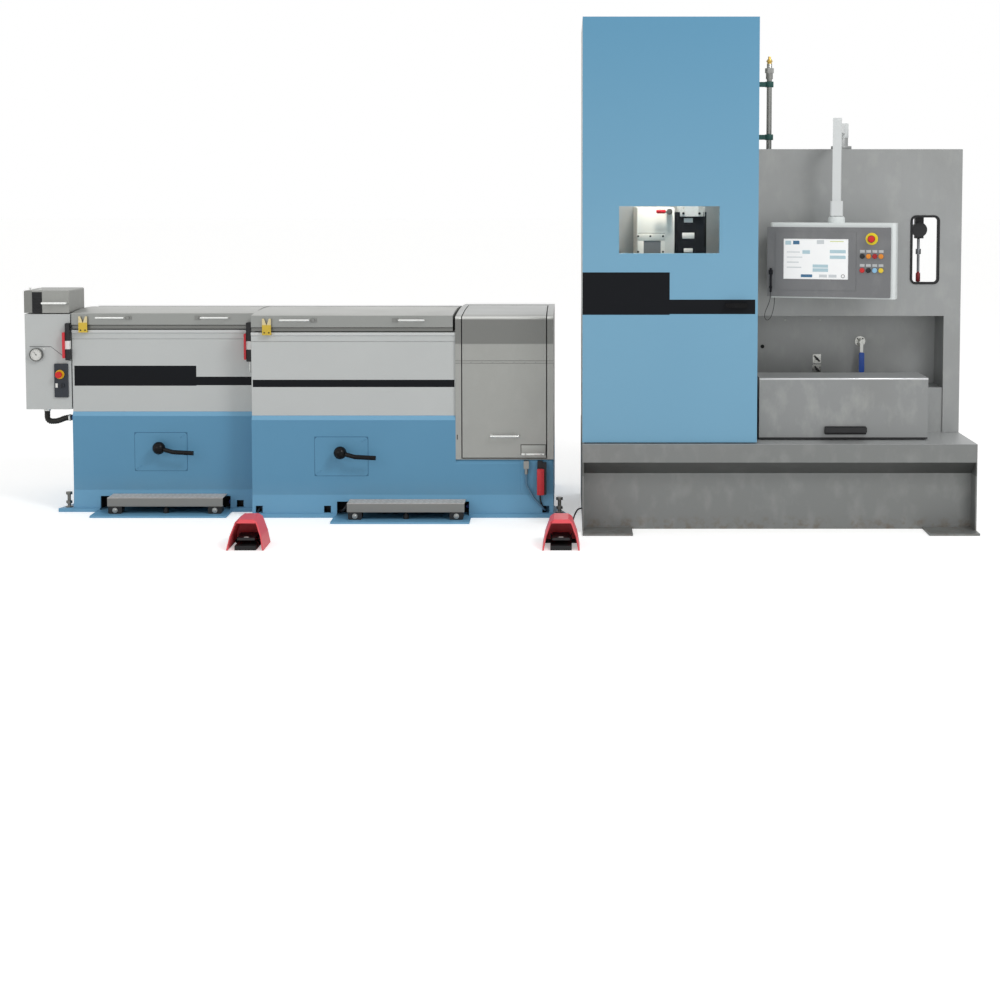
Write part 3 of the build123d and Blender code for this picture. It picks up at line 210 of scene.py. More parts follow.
def moulded(name, shade, roughness=0.5, specular=0.4):
    """Moulded plastic or rubber with a fine grain."""
    finish = Finish(name, shade, roughness=roughness, specular=specular)
    grain = finish.noise(700.0, 3.0)
    finish.tint((finish.noise(24.0, 4.0) - 0.45).clamped() * 0.3, "3a3c3e")
    finish.rough = roughness + (grain - 0.5) * 0.16
    return finish.raise_by(grain * 0.00007)


def stainless(name, shade="a2a39f", grain="x", cloud=0.5, roughness=0.36):
    """Stainless sheet: fine brushing along one axis, hand marks and slow clouds."""
    finish = Finish(name, shade, roughness=roughness, metallic=0.62)
    stretch = {"x": (0.03, 1.0, 1.0), "y": (1.0, 0.03, 1.0), "z": (1.0, 1.0, 0.03)}[grain]
    brushing = finish.noise(900.0, 2.0, stretch)
    clouds = finish.noise(2.2, 4.0, (1.0, 1.0, 0.8))
    smears = finish.noise(11.0, 5.0, (1.0, 1.0, 0.6))
    finish.tint((clouds - 0.45).clamped() * (1.8 * cloud), "858683")
    finish.tint((smears - 0.5).clamped() * (1.4 * cloud), "bfc0bc")
    finish.tint((brushing - 0.5).clamped() * 0.4, "777875")
    finish.rough = roughness - 0.06 + clouds * 0.16 + smears * 0.06
    return finish.raise_by(brushing * 0.00006)


def dress(finish, *names, edge=0.0012):
    """Gives CAD nodes a finish, with softened edges."""
    material = finish.made() if isinstance(finish, Finish) else finish
    for name in names:
        node = nodes[name]
        for slot in node.material_slots:
            slot.material = material
        if edge:
            weld = node.modifiers.new("weld", "WELD")
            weld.merge_threshold = 0.00002
            bevel = node.modifiers.new("soft_edges", "BEVEL")
            bevel.width = edge
            bevel.segments = 2
            bevel.limit_method = "ANGLE"
            bevel.angle_limit = math.radians(35)
            bevel.harden_normals = True
    return material


def piece(name, mesh, material, body="line", smooth=True):
    """A new object that rides on a CAD body."""
    data = bpy.data.meshes.new(name)
    mesh.to_mesh(data)
    mesh.free()
    data.materials.append(material)
    thing = bpy.data.objects.new(name, data)
    bpy.context.scene.collection.objects.link(thing)
    if smooth:
        data.shade_smooth()
        data.set_sharp_from_angle(angle=math.radians(32))
    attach(thing, body)
    return thing


def lathe(mesh, profile, centre, axis=(0, -1, 0), steps=24, turn=0.5):
    """Turns a profile of (radius, height) pairs, in millimetres, about an axis through the centre."""
    place = Vector(axis).to_track_quat("Z", "Y").to_matrix()
    rings = []
    for radius, height in profile:
        ring = []
        for step in range(steps):
            angle = math.tau * (step + turn) / steps
            local = Vector((radius * math.cos(angle), radius * math.sin(angle), height)) / 1000
            ring.append(mesh.verts.new(centre + place @ local))
        rings.append(ring)
    for lower, upper in zip(rings, rings[1:]):
        for step in range(steps):
            after = (step + 1) % steps
            mesh.faces.new((lower[step], lower[after], upper[after], upper[step]))
    mesh.faces.new(list(reversed(rings[0])))
    mesh.faces.new(rings[-1])


def screw(mesh, centre, radius=6.0, height=3.0, axis=(0, -1, 0)):
    """Domed screw head with a sunk hexagon socket."""
    dome = [(radius, -0.5), (radius, height * 0.5), (radius * 0.8, height * 0.92), (radius * 0.45, height)]
    socket = [(radius * 0.42, height * 0.25), (0.1, height * 0.2)]
    lathe(mesh, dome + socket, centre, axis, 12)


def slab(mesh, low, high, round_by=1.0, turned=None):
    """Box between two corners, in millimetres of part.py or of the turned panel, with softened edges."""
    made = bmesh.ops.create_cube(mesh, size=1.0)["verts"]
    for corner in made:
        place = [(a + b) / 2 + side * abs(b - a) for a, b, side in zip(low, high, corner.co)]
        corner.co = (turned or at)(*place)
    edges = list(dict.fromkeys(edge for corner in made for edge in corner.link_edges))
    bmesh.ops.bevel(mesh, geom=edges, offset=round_by / 1000, segments=2, affect="EDGES", profile=0.5)


def tube(mesh, points, radius, steps=12, ribs=None):
    """Tube along a path, its radius in millimetres; ribs(distance) adds to the radius along the way."""
    points = [Vector(point) for point in points]
    ahead = (points[1] - points[0]).normalized()
    side = ahead.orthogonal().normalized()
    rings = []
    travelled = 0.0
    for number, point in enumerate(points):
        if number:
            travelled += (point - points[number - 1]).length * 1000
        before = points[max(number - 1, 0)]
        after = points[min(number + 1, len(points) - 1)]
        turned = (after - before).normalized()
        side = ahead.rotation_difference(turned) @ side
        ahead = turned
        up = ahead.cross(side)
        reach = (radius + (ribs(travelled) if ribs else 0.0)) / 1000
        ring = []
        for step in range(steps):
            angle = math.tau * step / steps
            ring.append(mesh.verts.new(point + (side * math.cos(angle) + up * math.sin(angle)) * reach))
        rings.append(ring)
    for lower, upper in zip(rings, rings[1:]):
        for step in range(steps):
            after = (step + 1) % steps
            mesh.faces.new((lower[step], lower[after], upper[after], upper[step]))
    mesh.faces.new(list(reversed(rings[0])))
    mesh.faces.new(rings[-1])


def rounded_path(corners, radius, steps=6):
    """Points along straight runs whose corners are rounded; the radius is in millimetres."""
    corners = [Vector(corner) for corner in corners]
    points = [corners[0]]
    for before, here, after in zip(corners, corners[1:], corners[2:]):
        back = (before - here).normalized()
        on = (after - here).normalized()
        reach = min(radius / 1000, (before - here).length * 0.49, (after - here).length * 0.49)
        for step in range(steps + 1):
            share = step / steps
            start, end = here + back * reach, here + on * reach
            points.append((start.lerp(here, share)).lerp(here.lerp(end, share), share))
    points.append(corners[-1])
    return points


def lead(name, route, radius, body, node, material, **facts):
    """A cord that hangs or lies free: one smooth spline in place of its CAD tube."""
    data = bpy.data.curves.new(name, "CURVE")
    data.dimensions = "3D"
    data.bevel_depth = radius
    data.bevel_resolution = 3
    data.use_fill_caps = True
    spline = data.splines.new("NURBS")
    spline.points.add(len(route) - 1)
    for point, place in zip(spline.points, route):
        point.co = (*place, 1.0)
    spline.order_u = 3
    spline.use_endpoint_u = True
    spline.resolution_u = 8
    data.materials.append(material)
    cord = bpy.data.objects.new(name, data)
    bpy.context.scene.collection.objects.link(cord)
    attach(cord, body)
    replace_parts(cord, node)


def softbox(name, place, target, width, height, power):
    """Rectangular lamp that faces its target; returns its data."""
    data = bpy.data.lights.new(name, "AREA")
    data.shape = "RECTANGLE"
    data.size = width
    data.size_y = height
    data.energy = power
    lamp = bpy.data.objects.new(name, data)
    lamp.location = place
    lamp.rotation_euler = (Vector(target) - Vector(place)).to_track_quat("-Z", "Y").to_euler()
    bpy.context.scene.collection.objects.link(lamp)
    return data


# Studio: a pale floor that keeps the soft shadows, even light from all round, and a key from the upper
# right. The floor and the sky are lifted to white where the camera sees them, so the ground has no horizon.
FLOOR_CORNERS = [(-60, -40, 0), (60, -40, 0), (60, 90, 0), (-60, 90, 0)]
FLOOR_SHADE = "fdfdfc"
FLOOR_LIFT = 0.37
SKY_LIGHT = 0.6
KEY_POWER = 316.0
FILL_POWER = 90.0
floor_mesh = bpy.data.meshes.new("studio_floor")
floor_mesh.from_pydata(FLOOR_CORNERS, [], [(0, 1, 2, 3)])
floor = bpy.data.objects.new("studio_floor", floor_mesh)
bpy.context.scene.collection.objects.link(floor)
floor_paint = bpy.data.materials.new("studio_floor")
floor_paint.use_nodes = True
floor_shader = floor_paint.node_tree.nodes["Principled BSDF"]
floor_shader.inputs["Base Color"].default_value = linear(FLOOR_SHADE)
floor_shader.inputs["Roughness"].default_value = 0.9
floor_shader.inputs["Emission Color"].default_value = (1.0, 1.0, 1.0, 1.0)
floor_ray = add_node(floor_paint.node_tree, "ShaderNodeLightPath").outputs["Is Camera Ray"]
floor_lift = Sum(floor_paint.node_tree, floor_ray) * FLOOR_LIFT
floor_paint.node_tree.links.new(floor_lift.socket, floor_shader.inputs["Emission Strength"])
floor_mesh.materials.append(floor_paint)

world = bpy.data.worlds.new("studio_world")
world.use_nodes = True
sky = world.node_tree
seen = add_node(sky, "ShaderNodeLightPath")
seen_white = Sum(sky, seen.outputs["Is Camera Ray"])
seen_white = seen_white.math("MAXIMUM", Sum(sky, seen.outputs["Is Glossy Ray"]))
seen_white = seen_white.math("MAXIMUM", Sum(sky, seen.outputs["Is Transmission Ray"]))
sky.nodes["Background"].inputs["Color"].default_value = (1.0, 1.0, 1.0, 1.0)
sky.links.new((seen_white * (1.0 - SKY_LIGHT) + SKY_LIGHT).socket, sky.nodes["Background"].inputs["Strength"])
bpy.context.scene.world = world
bpy.context.scene.view_settings.view_transform = "Standard"
softbox("key_light", (5.0, -6.5, 7.5), (0.3, 0.0, 1.0), 2.4, 2.4, KEY_POWER)
softbox("fill_light", (-6.0, -8.0, 4.0), (0.0, 0.0, 1.0), 5.0, 4.0, FILL_POWER)

# Camera at the photograph's angle: a long lens well in front of the line, a little above head height, with a
# small shift so that the line stands in the frame as it does there.
CAMERA_PLACE = (0.451, -10.275, 1.893)
CAMERA_PITCH = 4.0
CAMERA_LENS = 64.8
CAMERA_SHIFT = (-0.067, -0.189)
camera_data = bpy.data.cameras.new("camera")
camera_data.lens = CAMERA_LENS
camera_data.sensor_width = 36.0
camera_data.shift_x, camera_data.shift_y = CAMERA_SHIFT
camera_data.clip_end = 300.0
camera = bpy.data.objects.new("camera", camera_data)
camera.location = CAMERA_PLACE
camera.rotation_euler = (math.radians(90.0 - CAMERA_PITCH), 0.0, 0.0)
bpy.context.scene.collection.objects.link(camera)
bpy.context.scene.camera = camera

# Blue bases of the two sections: welded frames behind folded sheet, powder coated. The skirt leans out to
# the floor and is cut for the toe niches and the cable ports. Painted light: the skirt is painted lighter
# where it leans out, the top bevel carries a painted highlight, and the insides of the niches and ports are
# painted near-black as painted shade. A cover plate is screwed on in each section, and blue couplings and a
# rubber hose show in the niches.
BLUE_FACE = "5f95b6"
BLUE_FACE_WORN = "588cae"
BLUE_SKIRT_PAINTED_LIGHT = "6fa8cb"
HOLLOW_SHADE = "141619"
BLUE_BEVEL_HIGHLIGHT = "80b4d4"
COVER_SHADOW = "41708f"
SECTION_FRONTS = (650.0, 465.0)
NICHE_STARTS = (426.0, 1823.0)
NICHE_LENGTH = 755.0
COVER_CENTRES = (780.0, 1850.0)
COVER_HALF_WIDTH = 154.0
COVER_FOOT, COVER_HEAD = 236.0, 463.0
CABLE_PORTS = ((1215, 650), (1338, 465), (1747, 465), (2974, 465))
SKIRT_TOP = 0.127
BEVEL_FROM, BEVEL_TO = 0.557, 0.583
base_blue = powder("base_blue", BLUE_FACE, BLUE_FACE_WORN)
# painted light: the skirt is painted lighter where it leans out towards the light
base_blue.tint((1.0 - base_blue.z.above(SKIRT_TOP, 0.004)) * 0.6, BLUE_SKIRT_PAINTED_LIGHT)
# painted highlight along the bevel at the top of the base
base_blue.tint(base_blue.z.between(BEVEL_FROM, BEVEL_TO, 0.002) * 0.7, BLUE_BEVEL_HIGHLIGHT)
for niche_x, cover_x, front in zip(NICHE_STARTS, COVER_CENTRES, SECTION_FRONTS):
    # painted shade: the inside of each toe niche is painted near-black
    niche = base_blue.box((niche_x - 2, front + 4, 13), (niche_x + NICHE_LENGTH + 2, front + 200, 91))
    base_blue.tint(niche, HOLLOW_SHADE, rough=0.8)
    low_corner = (cover_x - COVER_HALF_WIDTH, front - 4, COVER_FOOT)
    high_corner = (cover_x + COVER_HALF_WIDTH, front + 2, COVER_HEAD)
    base_blue.tint(base_blue.box(low_corner, high_corner), COVER_SHADOW)
for port_x, front in CABLE_PORTS:
    # painted shade: the inside of each cable port is painted near-black
    base_blue.tint(base_blue.box((port_x, front + 5, 20), (port_x + 44, front + 90, 72)), HOLLOW_SHADE)
dress(base_blue, "section_1_base", "section_2_base", edge=0.001)
plate_blue = powder("plate_blue", BLUE_FACE, BLUE_FACE_WORN)
plate_paint = dress(plate_blue, "access_panels", edge=0.001)
screws = bmesh.new()
for centre_x, front in zip(COVER_CENTRES, SECTION_FRONTS):
    for side, z in ((-134, 254), (-118, 266), (118, 434), (134, 446)):
        screw(screws, at(centre_x + side, front - 3, z), 5.0, 2.2)
piece("cover_screws", screws, plate_paint)
lower_plate = bmesh.new()
slab(lower_plate, (2872, 462.6, 134), (3054, 466, 326), 1.0)
piece("capstan_lower_plate", lower_plate, plate_paint)
coupling_blue = moulded("coupling_blue", "4a4f9a", 0.35).made()
couplings = bmesh.new()
lathe(couplings, [(11, 0), (11, 8), (14, 9), (14, 20), (10, 22), (10, 40)], at(1172, 730, 46), steps=16)
lathe(couplings, [(9, 0), (9, 10), (12, 11), (12, 22), (8, 24), (8, 34)], at(2569, 545, 52), steps=16)
piece("niche_couplings", couplings, coupling_blue)
niche_rubber = moulded("niche_rubber", "2a2c30", 0.45).made()
niche_hose = bmesh.new()
hose_route = [at(1836, 545, 26), at(1836, 500, 26), at(1862, 488, 40), at(1880, 500, 72), at(1880, 545, 76)]
tube(niche_hose, rounded_path(hose_route, 18), 8, 12)
piece("niche_hose", niche_hose, niche_rubber)

# Steps: folded steel tread plate with raised bars, each on rubber mounts that are bolted to the tray.
# Levelling bolts with a threaded stem stand at the two ends of the machine.
TREAD_PITCH = 28.0
TREAD_TOP = 0.1015
MOUNT_BOLTS = ((545, 490), (1117, 490), (1942, 305), (2514, 305))
tread = Finish("tread_plate", "cbc3bc", roughness=0.55, metallic=0.05)
lattice_x = (tread.x * TREAD_PITCH).math("FRACT") - 0.5
lattice_y = (tread.y * TREAD_PITCH).math("FRACT") - 0.5
checker = (tread.x * TREAD_PITCH).math("FLOOR") + (tread.y * TREAD_PITCH).math("FLOOR")
checker = checker.math("MODULO", 2.0).math("ABSOLUTE") * 2.0 - 1.0
bar_length = (lattice_x + lattice_y * checker).math("ABSOLUTE")
bar_width = (lattice_x - lattice_y * checker).math("ABSOLUTE")
bars = (1.0 - bar_width.above(0.09, 0.04)) * (1.0 - bar_length.above(0.55, 0.1))
bars = bars * tread.z.above(TREAD_TOP + 0.002)
tread.tint((tread.noise(8.0, 4.0) - 0.45).clamped() * 0.9, "8f908d")
tread.tint(bars, "e4dfda")
# painted shade: the tread's front and sides, below its top, are painted darker
tread.tint(1.0 - tread.z.above(TREAD_TOP, 0.001), "838380")
tread.raise_by(bars * 0.0014)
dress(tread, "steps", edge=0.001)
dress(moulded("mount_black", "18181a", 0.55), "step_mounts", edge=0.001)
bolt_metal = bare_metal("bolt_metal", "7b7b77", 0.36)
thread = (bolt_metal.z * 650.0).math("FRACT") - 0.5
bolt_metal.raise_by(thread.math("ABSOLUTE") * bolt_metal.z.between(0.062, 0.094) * 0.0012)
dress(bolt_metal, "levelling_bolts", edge=0.0006)
screw_metal = bare_metal("screw_metal", "a4a6a4", 0.34).made()
mount_bolts = bmesh.new()
washer_and_head = [(15, -0.5), (15, 1.5), (9.4, 1.6), (9.4, 6.8), (7, 8.4)]
for bolt_x, bolt_y in MOUNT_BOLTS:
    lathe(mount_bolts, washer_and_head, at(bolt_x, bolt_y + 7, 33), steps=18)
piece("mount_bolts", mount_bolts, screw_metal)

# Upright front panels: folded sheet in light grey powder coat, screwed to the housings from behind. Each has
# a lip under its lid, with a painted highlight along it, a groove, and a black band printed across. A painted
# highlight runs down the fold at the joint of the sections. The housings are the same grey.
PANEL_GREY = "c3c6c5"
PANEL_GREY_WORN = "babdbc"
BAND_BLACK = "131519"
BAND_GLOSS = 0.4
WIDE_BAND = ((281, 600, 732), (988, 700, 849))
THIN_BAND = ((987, 600, 735), (1317, 700, 785))
SECOND_BAND = ((1347, 420, 745), (2496, 500, 787))
panel_grey = powder("panel_grey", PANEL_GREY, PANEL_GREY_WORN, specular=0.12)
for band in (WIDE_BAND, THIN_BAND, SECOND_BAND):
    panel_grey.tint(panel_grey.box(*band), BAND_BLACK, rough=BAND_GLOSS)
# painted highlight down the fold at the right end of the first panel
joint_highlight = panel_grey.box((1320, 600, 560), (1337, 700, 1050))
panel_grey.tint(joint_highlight * 0.6, "dfe1e0")
# painted highlight along the lip under the lid
lip_highlight = panel_grey.z.between(1.04, 1.06) * 0.5
panel_grey.tint(lip_highlight, "d5d7d6", rough=0.3)
dress(panel_grey, "section_1_panel", "section_2_panel", edge=0.002)
housing_grey = powder("housing_grey", PANEL_GREY, PANEL_GREY_WORN)
dress(housing_grey, "section_1_housing", "section_2_housing", edge=0.002)

# Lids of both sections: brushed stainless sheet on rear hinges, folded down at the front over a lower
# flange. The front face is painted darker than the top as painted shade, and the flange darker still. The
# bow handles are welded of polished bar, with a pressed latch beside each, and a black rubber gasket closes
# the gap between the lids.
LID_FOLD = 1.1525
LID_FLANGE = 1.087
LATCH_STARTS = (586, 985, 1681, 2143)
lid_steel = stainless("lid_steel", "b4b5b1", "x", 0.35, 0.34)
# painted shade: the folded-down front and, darker still, the lower flange
lid_steel.tint(1.0 - lid_steel.z.above(LID_FOLD, 0.003), "999b98")
lid_steel.tint(1.0 - lid_steel.z.above(LID_FLANGE, 0.004), "7b7c79")
dress(lid_steel, "section_1_lid", "section_2_lid", edge=0.0015)
bright_bar = bare_metal("bright_bar", "eeefec", 0.2)
bright_bar.metal = 0.55
for latch_x in LATCH_STARTS:
    latch_plate = bright_bar.box((latch_x, 440, 1110), (latch_x + 36, 652, 1142))
    bright_bar.tint(latch_plate, "8b8c89", rough=0.35)
bar_paint = dress(bright_bar, "section_1_lid_handles", "section_2_lid_handles", edge=0)
gasket_rubber = moulded("gasket_rubber", "17181a", 0.55).made()
gasket = bmesh.new()
slab(gasket, (1335, 666, 1058), (1341, 1200, 1140), 1.0)
piece("lid_gasket", gasket, gasket_rubber)

# Brass V-notch brackets that carry the wire in front of each lid: cut from plate on a square foot, held to
# the panel's lip by two black screws. Round the notch they are painted paler and glossier as a painted
# highlight.
BRACKETS = ((343, 633), (1434, 448))
NOTCH_FOOT = 1.1
brass = bare_metal("brass_plate", "cfb24a", 0.34)
# painted highlight: the part above the notch's foot is painted paler and glossier
brass.tint(brass.z.above(NOTCH_FOOT, 0.004) * 0.5, "e9e4cf", rough=0.22)
dress(brass, "brass_brackets", edge=0.0008)
bracket_screws = bmesh.new()
for bracket_x, bracket_y in BRACKETS:
    for side in (-13, 13):
        screw(bracket_screws, at(bracket_x + side, bracket_y, 1058), 4.5, 2.5)
piece("bracket_screws", bracket_screws, gasket_rubber)

# Interlock switches: two stand upright at the ends of the first lid and one hangs under the capstan end.
# They are black moulded housings with a blank white plate and a red release grip, screwed to the panels. A
# thin metal conduit runs from the second one down into the panel.
SWITCH_LABELS = ((240.0, 660.0), (1289.0, 638.0))
LOWER_SWITCH_SIDE = ((2997, 420, 134), (3021, 466, 321))
switch_black = moulded("switch_black", "1a1b1e", 0.42)
for label_x, front in SWITCH_LABELS:
    switch_black.tint(switch_black.box((label_x, front - 60, 948), (label_x + 40, front + 1, 996)), "e8e8e6")
dress(switch_black, "interlock_switches", edge=0.0015)
grip_red = moulded("grip_red", "cf3039", 0.36)
grip_red.tint(grip_red.box(*LOWER_SWITCH_SIDE), "1a1b1e")
grip_red_paint = dress(grip_red, "interlock_grips", edge=0.002)
lower_grip = bmesh.new()
slab(lower_grip, (2966, 414, 133), (3008, 433.5, 284), 6.0)
slab(lower_grip, (2978, 411.5, 146), (2996, 415, 272), 1.5)
piece("lower_switch_grip", lower_grip, grip_red_paint)
conduit = bmesh.new()
conduit_route = [at(1303, 645, 886), at(1303, 645, 826), at(1303, 655, 814), at(1303, 668, 812)]
tube(conduit, rounded_path(conduit_route, 12), 3.5, 10)
piece("switch_conduit", conduit, bar_paint)

# Capstan end: welded stainless frame and a lifting cover of the same sheet, lapped and riveted across its
# front. A bar pull and a folded tab with a bright lip, on two screws, are fixed near its foot. A painted
# highlight runs along the top bend, the top is painted lighter as painted light, a painted shadow edges the
# tab, and the slot in the left strip is only a near-black mark of painted shade.
TAB_X = (2877.0, 3015.0)
TAB_Z = (359.0, 414.0)
RIVET_PITCH = 61.0
LAP_EDGES = ((0.882, 0.8845), (0.8955, 0.898))
DARK_FROM, DARK_TO = 0.99, 1.13
BEND_FROM, BEND_TO = 1.137, 1.149
capstan_steel = stainless("capstan_steel", "a6a7a3", "x", 0.4, 0.36)
capstan_front = capstan_steel.before(470)
capstan_steel.tint(capstan_steel.z.between(DARK_FROM, DARK_TO, 0.006) * capstan_front, "7e7f7c")
lap_edge = capstan_steel.z.between(*LAP_EDGES[0]) + capstan_steel.z.between(*LAP_EDGES[1])
capstan_steel.tint(lap_edge * capstan_front, "5c5d5a")
# painted highlight along the front top bend
bend_highlight = capstan_steel.z.between(BEND_FROM, BEND_TO, 0.003) * capstan_steel.before(490)
capstan_steel.tint(bend_highlight * 0.8, "e3e4e0", rough=0.25)
# painted shadow: a dark border round the tab where it stands off the cover
tab_shadow_line = capstan_steel.box((TAB_X[0] - 5, 455, TAB_Z[0] - 4), (TAB_X[1] + 5, 466.5, TAB_Z[1] + 5))
capstan_steel.tint(tab_shadow_line, "5a5b58")
handle_bar = capstan_steel.box((2695, 400, 450), (2870, 463.4, 490))
capstan_steel.tint(handle_bar, "eeefec", rough=0.2)
# painted shade: a near-black mark stands for the slot's shaded opening
slot_shade_mark = capstan_steel.box((2509, 440, 446), (2514, 470, 474))
capstan_steel.tint(slot_shade_mark, "1c1d1f", rough=0.8, metal=0.0)
# painted light: the top of the cover is painted lighter
capstan_steel.tint(capstan_steel.z.above(1.15, 0.004), "b7b9b7")
dress(capstan_steel, "capstan_cover", "capstan_frame", edge=0.002)
tab_steel = stainless("tab_steel", "a6a7a3", "x", 0.4, 0.36)
tab = bmesh.new()
slab(tab, (TAB_X[0], 460, TAB_Z[0]), (TAB_X[1], 464.6, TAB_Z[1]), 1.2)
piece("capstan_tab", tab, tab_steel.made(), "capstan_cover")
tab_lip = bmesh.new()
slab(tab_lip, (TAB_X[0], 452, TAB_Z[0] - 2), (TAB_X[1] - 6, 461, TAB_Z[0] + 9), 2.0)
piece("capstan_tab_lip", tab_lip, bar_paint, "capstan_cover")
fixings = bmesh.new()
for number in range(7):
    lathe(fixings, [(4, 0), (4, 1), (2.4, 2.2)], at(2591 + RIVET_PITCH * number, 463.6, 890), steps=12)
for screw_x in (2900, 2990):
    screw(fixings, at(screw_x, 452, TAB_Z[0] + 3.5), 4.2, 2.5)
piece("capstan_fixings", fixings, screw_metal, "capstan_cover")

# Inlet cabinet: grey powder-coated sheet, folded, with a slanting seam. The air pressure gauge is set into
# it, and a dark moulded control plate with an emergency stop, a blank white plate and a key switch is
# screwed on.
SEAM_HIGH, SEAM_LOW, SEAM_SLOPE = 0.96, 0.88, 0.78
GAUGE = (67.0, 915.0)
DIAL_FACE = 641.6
STOP_BUTTON = (201, 800)
KEY_PLACE = (214, 650, 736)
NEEDLE_ANGLE = math.radians(128)
cabinet_grey = powder("cabinet_grey", "c0c3c2", "b8bbba")
slant = SEAM_HIGH - (cabinet_grey.x - at(150, 0, 0).x).math("MAXIMUM", 0.0) * SEAM_SLOPE
seam = (cabinet_grey.z - slant.math("MAXIMUM", SEAM_LOW)).math("ABSOLUTE")
seam_line = (1.0 - seam.above(0.0016)) * cabinet_grey.before(662) * cabinet_grey.x.above(at(26, 0, 0).x)
cabinet_grey.tint(seam_line, "5b5d5d", rough=0.7)
cabinet_grey.raise_by(seam_line * -0.001)
dress(cabinet_grey, "inlet_cabinet", edge=0.002)
controls = moulded("control_plate", "2b3038", 0.4)
controls.tint(controls.disc(*GAUGE, 60), "6d6e6c", rough=0.25, metal=0.8)
controls.tint(controls.disc(*GAUGE, 32.6) * controls.before(643), "dcdcd8", rough=0.5, metal=0.0)
controls.tint(controls.disc(*STOP_BUTTON, 30) * controls.before(649.5), "e6b417", rough=0.4)
controls.tint(controls.disc(*STOP_BUTTON, 22) * controls.before(644), "cf2420", rough=0.3)
controls.tint(controls.box((174, 640, 723), (187, 651, 747)), "e8e8e4")
dress(controls, "inlet_controls", edge=0.0008)
dial_black = moulded("dial_black", "1c1c1e", 0.45).made()
dial = bmesh.new()
for number in range(11):
    angle = math.radians(225 - 27 * number)
    spoke = Vector((math.cos(angle), 0, math.sin(angle)))
    start = at(GAUGE[0], DIAL_FACE, GAUGE[1]) + spoke * 0.023
    tube(dial, [start, start + spoke * 0.005], 0.7, 6)
needle = Vector((math.cos(NEEDLE_ANGLE), 0, math.sin(NEEDLE_ANGLE)))
middle = at(GAUGE[0], 641, GAUGE[1])
tube(dial, [middle - needle * 0.006, middle + needle * 0.021], 1.0, 6)
lathe(dial, [(3.4, 0), (3.4, 1.4)], at(GAUGE[0], 641.8, GAUGE[1]), steps=14)
piece("gauge_marks", dial, dial_black)
key_switch = bmesh.new()
lathe(key_switch, [(13, -0.5), (13, 4), (9, 4.5)], at(*KEY_PLACE), steps=20)
screw(key_switch, at(109, 660, 946), 5, 3)
piece("key_bezel", key_switch, bar_paint)
key = bmesh.new()
lathe(key, [(8.6, 4), (8.6, 9), (7.4, 10)], at(*KEY_PLACE), steps=18)
slab(key, (211.5, 632, 725), (216.5, 641, 747), 1.2)
piece("key_knob", key, dial_black)
stop_neck = bmesh.new()
lathe(stop_neck, [(12, 0), (12, 18)], at(201, 645, 800), steps=18)
piece("stop_neck_inlet", stop_neck, dial_black)

# Inlet hood: folded stainless cover hinged at the back of the cabinet. It has a pull of polished bar, two
# small turned knobs on top, and a black ribbed rubber strip down its front where the wire comes in.
STRIP_X = (48.0, 104.0)
STRIP_RIBS = 13
RIB_PITCH = 9.0
KNOB_PLACES = (25, 85)
hood_steel = stainless("hood_steel", "9d9e9a", "z", 0.5, 0.36)
left_end = hood_steel.before(657) * (1.0 - hood_steel.x.above(at(48, 0, 0).x))
hood_steel.tint(left_end * 0.8, "7c7d7a")
dress(hood_steel, "inlet_hood", edge=0.0015)
fittings_bar = bare_metal("hood_bar", "eeefec", 0.2)
fittings_bar.metal = 0.55
strip = fittings_bar.box((STRIP_X[0] - 1, 645, 1150), (STRIP_X[1] + 1, 656, 1290))
fittings_bar.tint(strip, "1b1c1e", rough=0.6, metal=0.0)
dress(fittings_bar, "inlet_hood_fittings", edge=0)
strip_ribs = bmesh.new()
for number in range(STRIP_RIBS):
    z = 1162 + RIB_PITCH * number
    tube(strip_ribs, [at(STRIP_X[0] + 1, 652, z), at(STRIP_X[1] - 1, 652, z)], 2.6, 8)
piece("strip_ribs", strip_ribs, gasket_rubber, "inlet_hood")
knobs = bmesh.new()
knob_profile = [(7, -1), (7, 3), (4, 4), (4, 8), (8, 10), (8, 13), (6, 15)]
for knob_x in KNOB_PLACES:
    lathe(knobs, knob_profile, at(knob_x, 700, 1286), (0, 0, 1), 16)
piece("hood_knobs", knobs, bar_paint, "inlet_hood")

# Inlet hose: ribbed rubber pushed over the cabinet's outlet and a blue hexagon nut at the drawing machine,
# held with a silver clamp at each end.
HOSE_PITCH = 9.0
HOSE_RADIUS = 16.0
RIB_HEIGHT = 1.6


def hose_ribs(way):
    """How far the hose's wall stands out, so many mm along it."""
    return RIB_HEIGHT * math.sin(math.tau * way / HOSE_PITCH)


hose_rubber = moulded("hose_rubber", "2b2a27", 0.5).made()
hose_corners = [(104, 720, 596), (104, 720, 518), (164, 720, 518), (212, 720, 540), (270, 720, 540)]
hose_ways = rounded_path([at(*corner) for corner in hose_corners], 34, 10)
hose_points = []
for here, after in zip(hose_ways, hose_ways[1:]):
    parts = max(1, round((after - here).length * 1000 / (HOSE_PITCH / 6)))
    hose_points += [here.lerp(after, part / parts) for part in range(parts)]
hose_points.append(hose_ways[-1])
ribbed_hose = bmesh.new()
tube(ribbed_hose, hose_points, HOSE_RADIUS, 20, hose_ribs)
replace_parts(piece("ribbed_hose", ribbed_hose, hose_rubber), "inlet_hose")
hose_clamps = bmesh.new()
clamp_profile = [(19, 0), (20, 1), (20, 11), (19, 12)]
lathe(hose_clamps, clamp_profile, at(104, 720, 592), (0, 0, -1), 28)
lathe(hose_clamps, clamp_profile, at(230, 720, 540), (1, 0, 0), 28)
slab(hose_clamps, (97, 696, 582), (111, 703, 590), 1.0)
slab(hose_clamps, (232, 696, 535), (240, 703, 549), 1.0)
piece("hose_clamps", hose_clamps, bar_paint)
hose_nut = bmesh.new()
